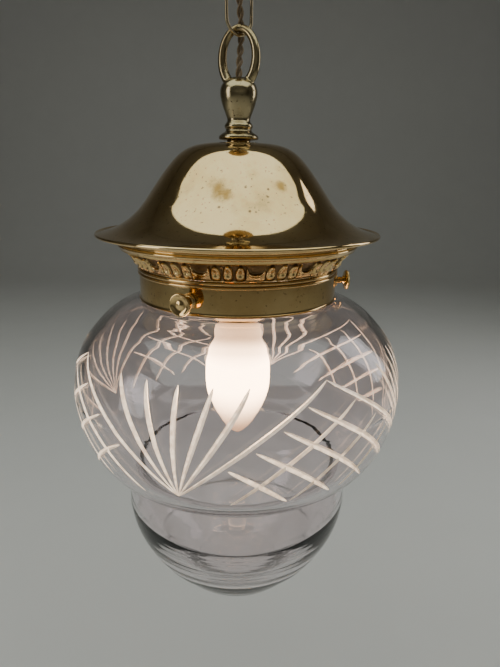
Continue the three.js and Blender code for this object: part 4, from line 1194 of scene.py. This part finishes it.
def makeHolderBody():
    size = holderSize
    top, bottom = high("lampholder_body"), low("lampholder_body")
    bore, face, root = size["bore"], holderRadius, holderRadius - 0.22 * mm
    outline = [(bore, top), (face, top)]
    for step in range(size["threadTurns"]):  # the clamp ring's thread
        height = top - 1.2 * mm - step * size["thread"]
        outline += [(face, height), (root, height - 0.35 * mm), (root, height - 0.5 * mm), (face, height - 0.85 * mm)]
    outline += [(face, bottom + 0.5 * mm), (face - 0.15 * mm, bottom), (bore + 0.15 * mm, bottom),
                (bore, bottom + 0.5 * mm), outline[0]]
    piece = spun("holderBody", outline, size["steps"])
    lug, back = size["lug"], size["lugTurn"]
    half = math.degrees((lug + 0.3 * mm) / bore) + size["lugSlack"] / 2
    inside, outside = bore - 2 * mm, face + 2 * mm
    for turn in size["lugs"]:  # a slot round the body, and one that comes up to it from below
        for end, floor, roof in ((turn + half, lugLevel - lug - 0.3 * mm, lugLevel + lug + 0.3 * mm),
                                 (turn - back + half, bottom - 2 * mm, lugLevel + lug + 0.28 * mm)):
            start = turn - back - half
            block = [(inside, floor), (outside, floor), (outside, roof), (inside, roof), (inside, floor)]
            slot = spun("slot", block, 12, math.radians(end - start))
            cutAway(piece, moved(slot, Matrix.Rotation(math.radians(start), 4, "Z")))
    return markHollows(smooth(piece))


brassPiece(makeHolderBody(), "lampholder_body")


def makeHolderRing():
    size = holderSize
    top, bottom = high("lampholder_ring"), low("lampholder_ring")
    inside = holderRadius + 0.3 * mm
    outside = inside + size["ringWidth"]
    line = [(inside, top), (inside + 1.2 * mm, top), (inside + 1.7 * mm, top - 0.5 * mm),
            (outside - 1.9 * mm, top - 0.5 * mm), (outside - 1.4 * mm, top), (outside - 0.4 * mm, top - 0.3 * mm),
            (outside, top - 1.1 * mm), (outside - 0.1 * mm, bottom + 0.9 * mm), (outside - 0.9 * mm, bottom),
            (inside, bottom)]
    piece = spun("holderRing", rounded(line, 0.25 * mm), size["ringSteps"])
    for point in piece.data.vertices:  # fluted edge, for the fingers
        radius = math.hypot(point.co.x, point.co.y)
        if radius > outside - 0.7 * mm:
            flute = 0.5 + 0.5 * math.cos(math.atan2(point.co.y, point.co.x) * size["ringFlutes"])
            shrink = 1 - size["fluteDepth"] / radius * flute
            point.co.x *= shrink
            point.co.y *= shrink
    piece.data.update()
    return markHollows(smooth(piece))


brassPiece(makeHolderRing(), "lampholder_ring")


def makeInsulator():
    top, bottom = high("lampholder_insulator"), low("lampholder_insulator")
    radius = holderSize["bore"] - 0.3 * mm
    line = [(0, bottom), (radius - 2 * mm, bottom), (radius - 2 * mm, bottom + 1.2 * mm), (radius, bottom + 1.4 * mm),
            (radius, top - 0.6 * mm), (radius - 0.6 * mm, top), (0, top)]
    return smooth(spun("holderInsulator", rounded(line, 0.3 * mm), 72))


placed(makeInsulator(), "lamp", porcelainFinish, "lampholder_insulator")
print("lampholder made")

# bulb

bulbSize = {"cap": 11 * mm, "capWall": 0.8 * mm, "glass": 18.2 * mm, "length": 72.5 * mm, "wall": 1 * mm,
            "neckDepth": 8 * mm, "rod": 2.4 * mm, "rodLength": 34 * mm, "steps": 96}


def makeBulbCap():
    size = bulbSize
    top, bottom = high("bulb_cap"), low("bulb_cap")
    wide, wall, lugWide = size["cap"], size["capWall"], holderSize["lug"]
    edge, inside = 2 * wall, wide - wall
    line = [(0, top), (wide - edge - 1.2 * mm, top), (wide - edge, top - 0.2 * mm), (wide - 0.5 * mm, top - edge * 0.6),
            (wide, top - edge), (wide, bottom + 2.6 * mm), (wide - 0.25 * mm, bottom + 2.2 * mm),
            (wide - 0.25 * mm, bottom + 1.8 * mm), (wide, bottom + 1.4 * mm), (wide, bottom + 0.3 * mm),
            (wide - 0.2 * mm, bottom), (inside, bottom), (inside, top - edge), (0, top - edge)]
    cup = spun("capShell", line, size["steps"])
    lugs = []
    for turn in holderSize["lugs"]:
        shape = [(0, inside), (lugWide, inside), (lugWide, holderRadius - 0.3 * mm), (0.85 * mm, holderRadius),
                 (0, holderRadius)]
        lugs.append(moved(spun("lug", shape, 24), lying(lugLevel, turn)))
    return markHollows(smooth(joinedUp("bulbCap", cup, *lugs)))


placed(makeBulbCap(), "bulb", brassFinish, "bulb_cap")
bulbNeck = bulbSize["cap"] - bulbSize["capWall"] - 0.3 * mm


def makeBulbGlassPiece():
    size = bulbSize
    foot = low("bulb_cap")
    shape = [(0, 0), (0.1, 0.04), (0.55, 0.18), (0.9, 0.33), (1, 0.45), (0.94, 0.58)]
    tip = [(0.84, 0.7), (0.62, 0.82), (0.36, 0.92), (0.15, 0.975), (0, 1)]
    line = curved([(bulbNeck + out * (size["glass"] - bulbNeck), foot - down * size["length"]) for out, down in shape]
                  + [(out * size["glass"], foot - down * size["length"]) for out, down in tip], 6)
    inner = walled(line, size["wall"])
    inner[-1] = (0, line[-1][1] + size["wall"])
    top = foot + size["neckDepth"]
    rim = [(bulbNeck - size["wall"], top), (bulbNeck, top)]
    return smooth(spun("bulbGlass", [(bulbNeck, top)] + line + inner[::-1] + rim, size["steps"]))


placed(makeBulbGlassPiece(), "bulb", bulbFinish, "bulb_glass")


def makeBulbStem():
    foot, rod = low("bulb_cap"), bulbSize["rod"]
    top, bottom = high("bulb_stem"), foot - bulbSize["rodLength"]
    flare = bulbNeck - bulbSize["wall"] - 0.3 * mm
    shape = [(flare, top), (flare, top - 0.4 * flare), (rod * 1.9, top - 0.9 * flare), (rod * 1.1, foot + 2 * mm),
             (rod, foot - 4 * mm), (rod, bottom + 2 * rod), (rod * 0.8, bottom + rod * 0.6), (0, bottom)]
    return smooth(spun("bulbStem", [(0, top)] + curved(shape, 5), 48), 50)


placed(makeBulbStem(), "bulb", glassFinish, "bulb_stem")
print("bulb made")

# studio: floor, light and the photograph's view

studio = {"floor": -0.6, "wide": 9, "deep": 5, "sweep": 12, "step": 0.13, "wall": 2.5,
          "paper": (0.74, 0.725, 0.7), "worn": (0.7, 0.685, 0.66), "sky": (0.8, 0.84, 0.88), "skyPower": 0.17,
          "place": (0, -0.2676, -0.1394), "down": 17.35, "right": 1.45, "roll": 0.65, "lens": 36.07}

pickNothing()
bpy.ops.mesh.primitive_plane_add(size=1, location=(0, -0.5, studio["floor"]))
floor = opened(started("paleFloor"))
bpy.ops.transform.resize(value=(studio["wide"], studio["deep"], 1))
rest(floor)
for edge in floor.data.edges:
    edge.select = all(floor.data.vertices[index].co.y > 1 for index in edge.vertices)
bpy.ops.object.mode_set(mode="EDIT")
bpy.ops.mesh.select_mode(type="EDGE")
for step in range(studio["sweep"]):  # the floor sweeps up behind the lamp
    rise = math.radians((step + 0.5) * 90 / studio["sweep"])
    bpy.ops.mesh.extrude_region_move(TRANSFORM_OT_translate={
        "value": (0, studio["step"] * math.cos(rise), studio["step"] * math.sin(rise))})
bpy.ops.mesh.extrude_region_move(TRANSFORM_OT_translate={"value": (0, 0, studio["wall"])})
bpy.ops.mesh.select_mode(type="VERT")
bpy.ops.object.mode_set(mode="OBJECT")
smooth(floor, 60)
paper = Finish("palePaper", studio["paper"], 0.9)
paper.wear("Base Color", paper.mix(paper.noise(paper.place(), 9, 3), studio["paper"], studio["worn"]))
floor.data.materials.append(paper.material)

world = bpy.data.worlds.new("studio")
bpy.context.scene.world = world
world.use_nodes = True
sky = world.node_tree.nodes["Background"].inputs
sky["Color"].default_value = (*studio["sky"], 1)
sky["Strength"].default_value = studio["skyPower"]

lights = {
    "overheadPanel": {"place": (0, -0.24, 0.85), "aim": (0, -0.05, -0.12), "size": (2.4, 1.25), "power": 14,
                      "colour": (0.92, 1.0, 0.95)},
    "leftPanel": {"place": (-1.3, -0.5, 0.1), "aim": (0, 0, -0.2), "size": (0.5, 1.1), "power": 4},
    "rightPanel": {"place": (1.2, 0.45, 0.2), "aim": (0, 0, -0.2), "size": (0.4, 1.0), "power": 3}}


def softLight(name, place, aim, size, power, colour=(1, 1, 1)):
    pickNothing()
    bpy.ops.object.light_add(type="AREA", location=place)
    light = bpy.context.object
    light.name = name
    light.data.shape = "RECTANGLE"
    light.data.size, light.data.size_y = size
    light.data.energy = power
    light.data.color = colour
    light.rotation_euler = (Vector(place) - Vector(aim)).to_track_quat("Z", "Y").to_euler()


for name, values in lights.items():
    softLight(name, **values)

bpy.ops.object.camera_add(location=studio["place"])
camera = bpy.context.object
camera.data.sensor_fit = "HORIZONTAL"
camera.data.sensor_width = 36
camera.data.lens = studio["lens"]
turn = Matrix.Rotation(math.radians(-studio["right"]), 4, "Z") \
    @ Matrix.Rotation(math.radians(90 - studio["down"]), 4, "X") \
    @ Matrix.Rotation(math.radians(studio["roll"]), 4, "Z")
camera.rotation_euler = turn.to_euler()
bpy.context.scene.camera = camera
print("studio set")
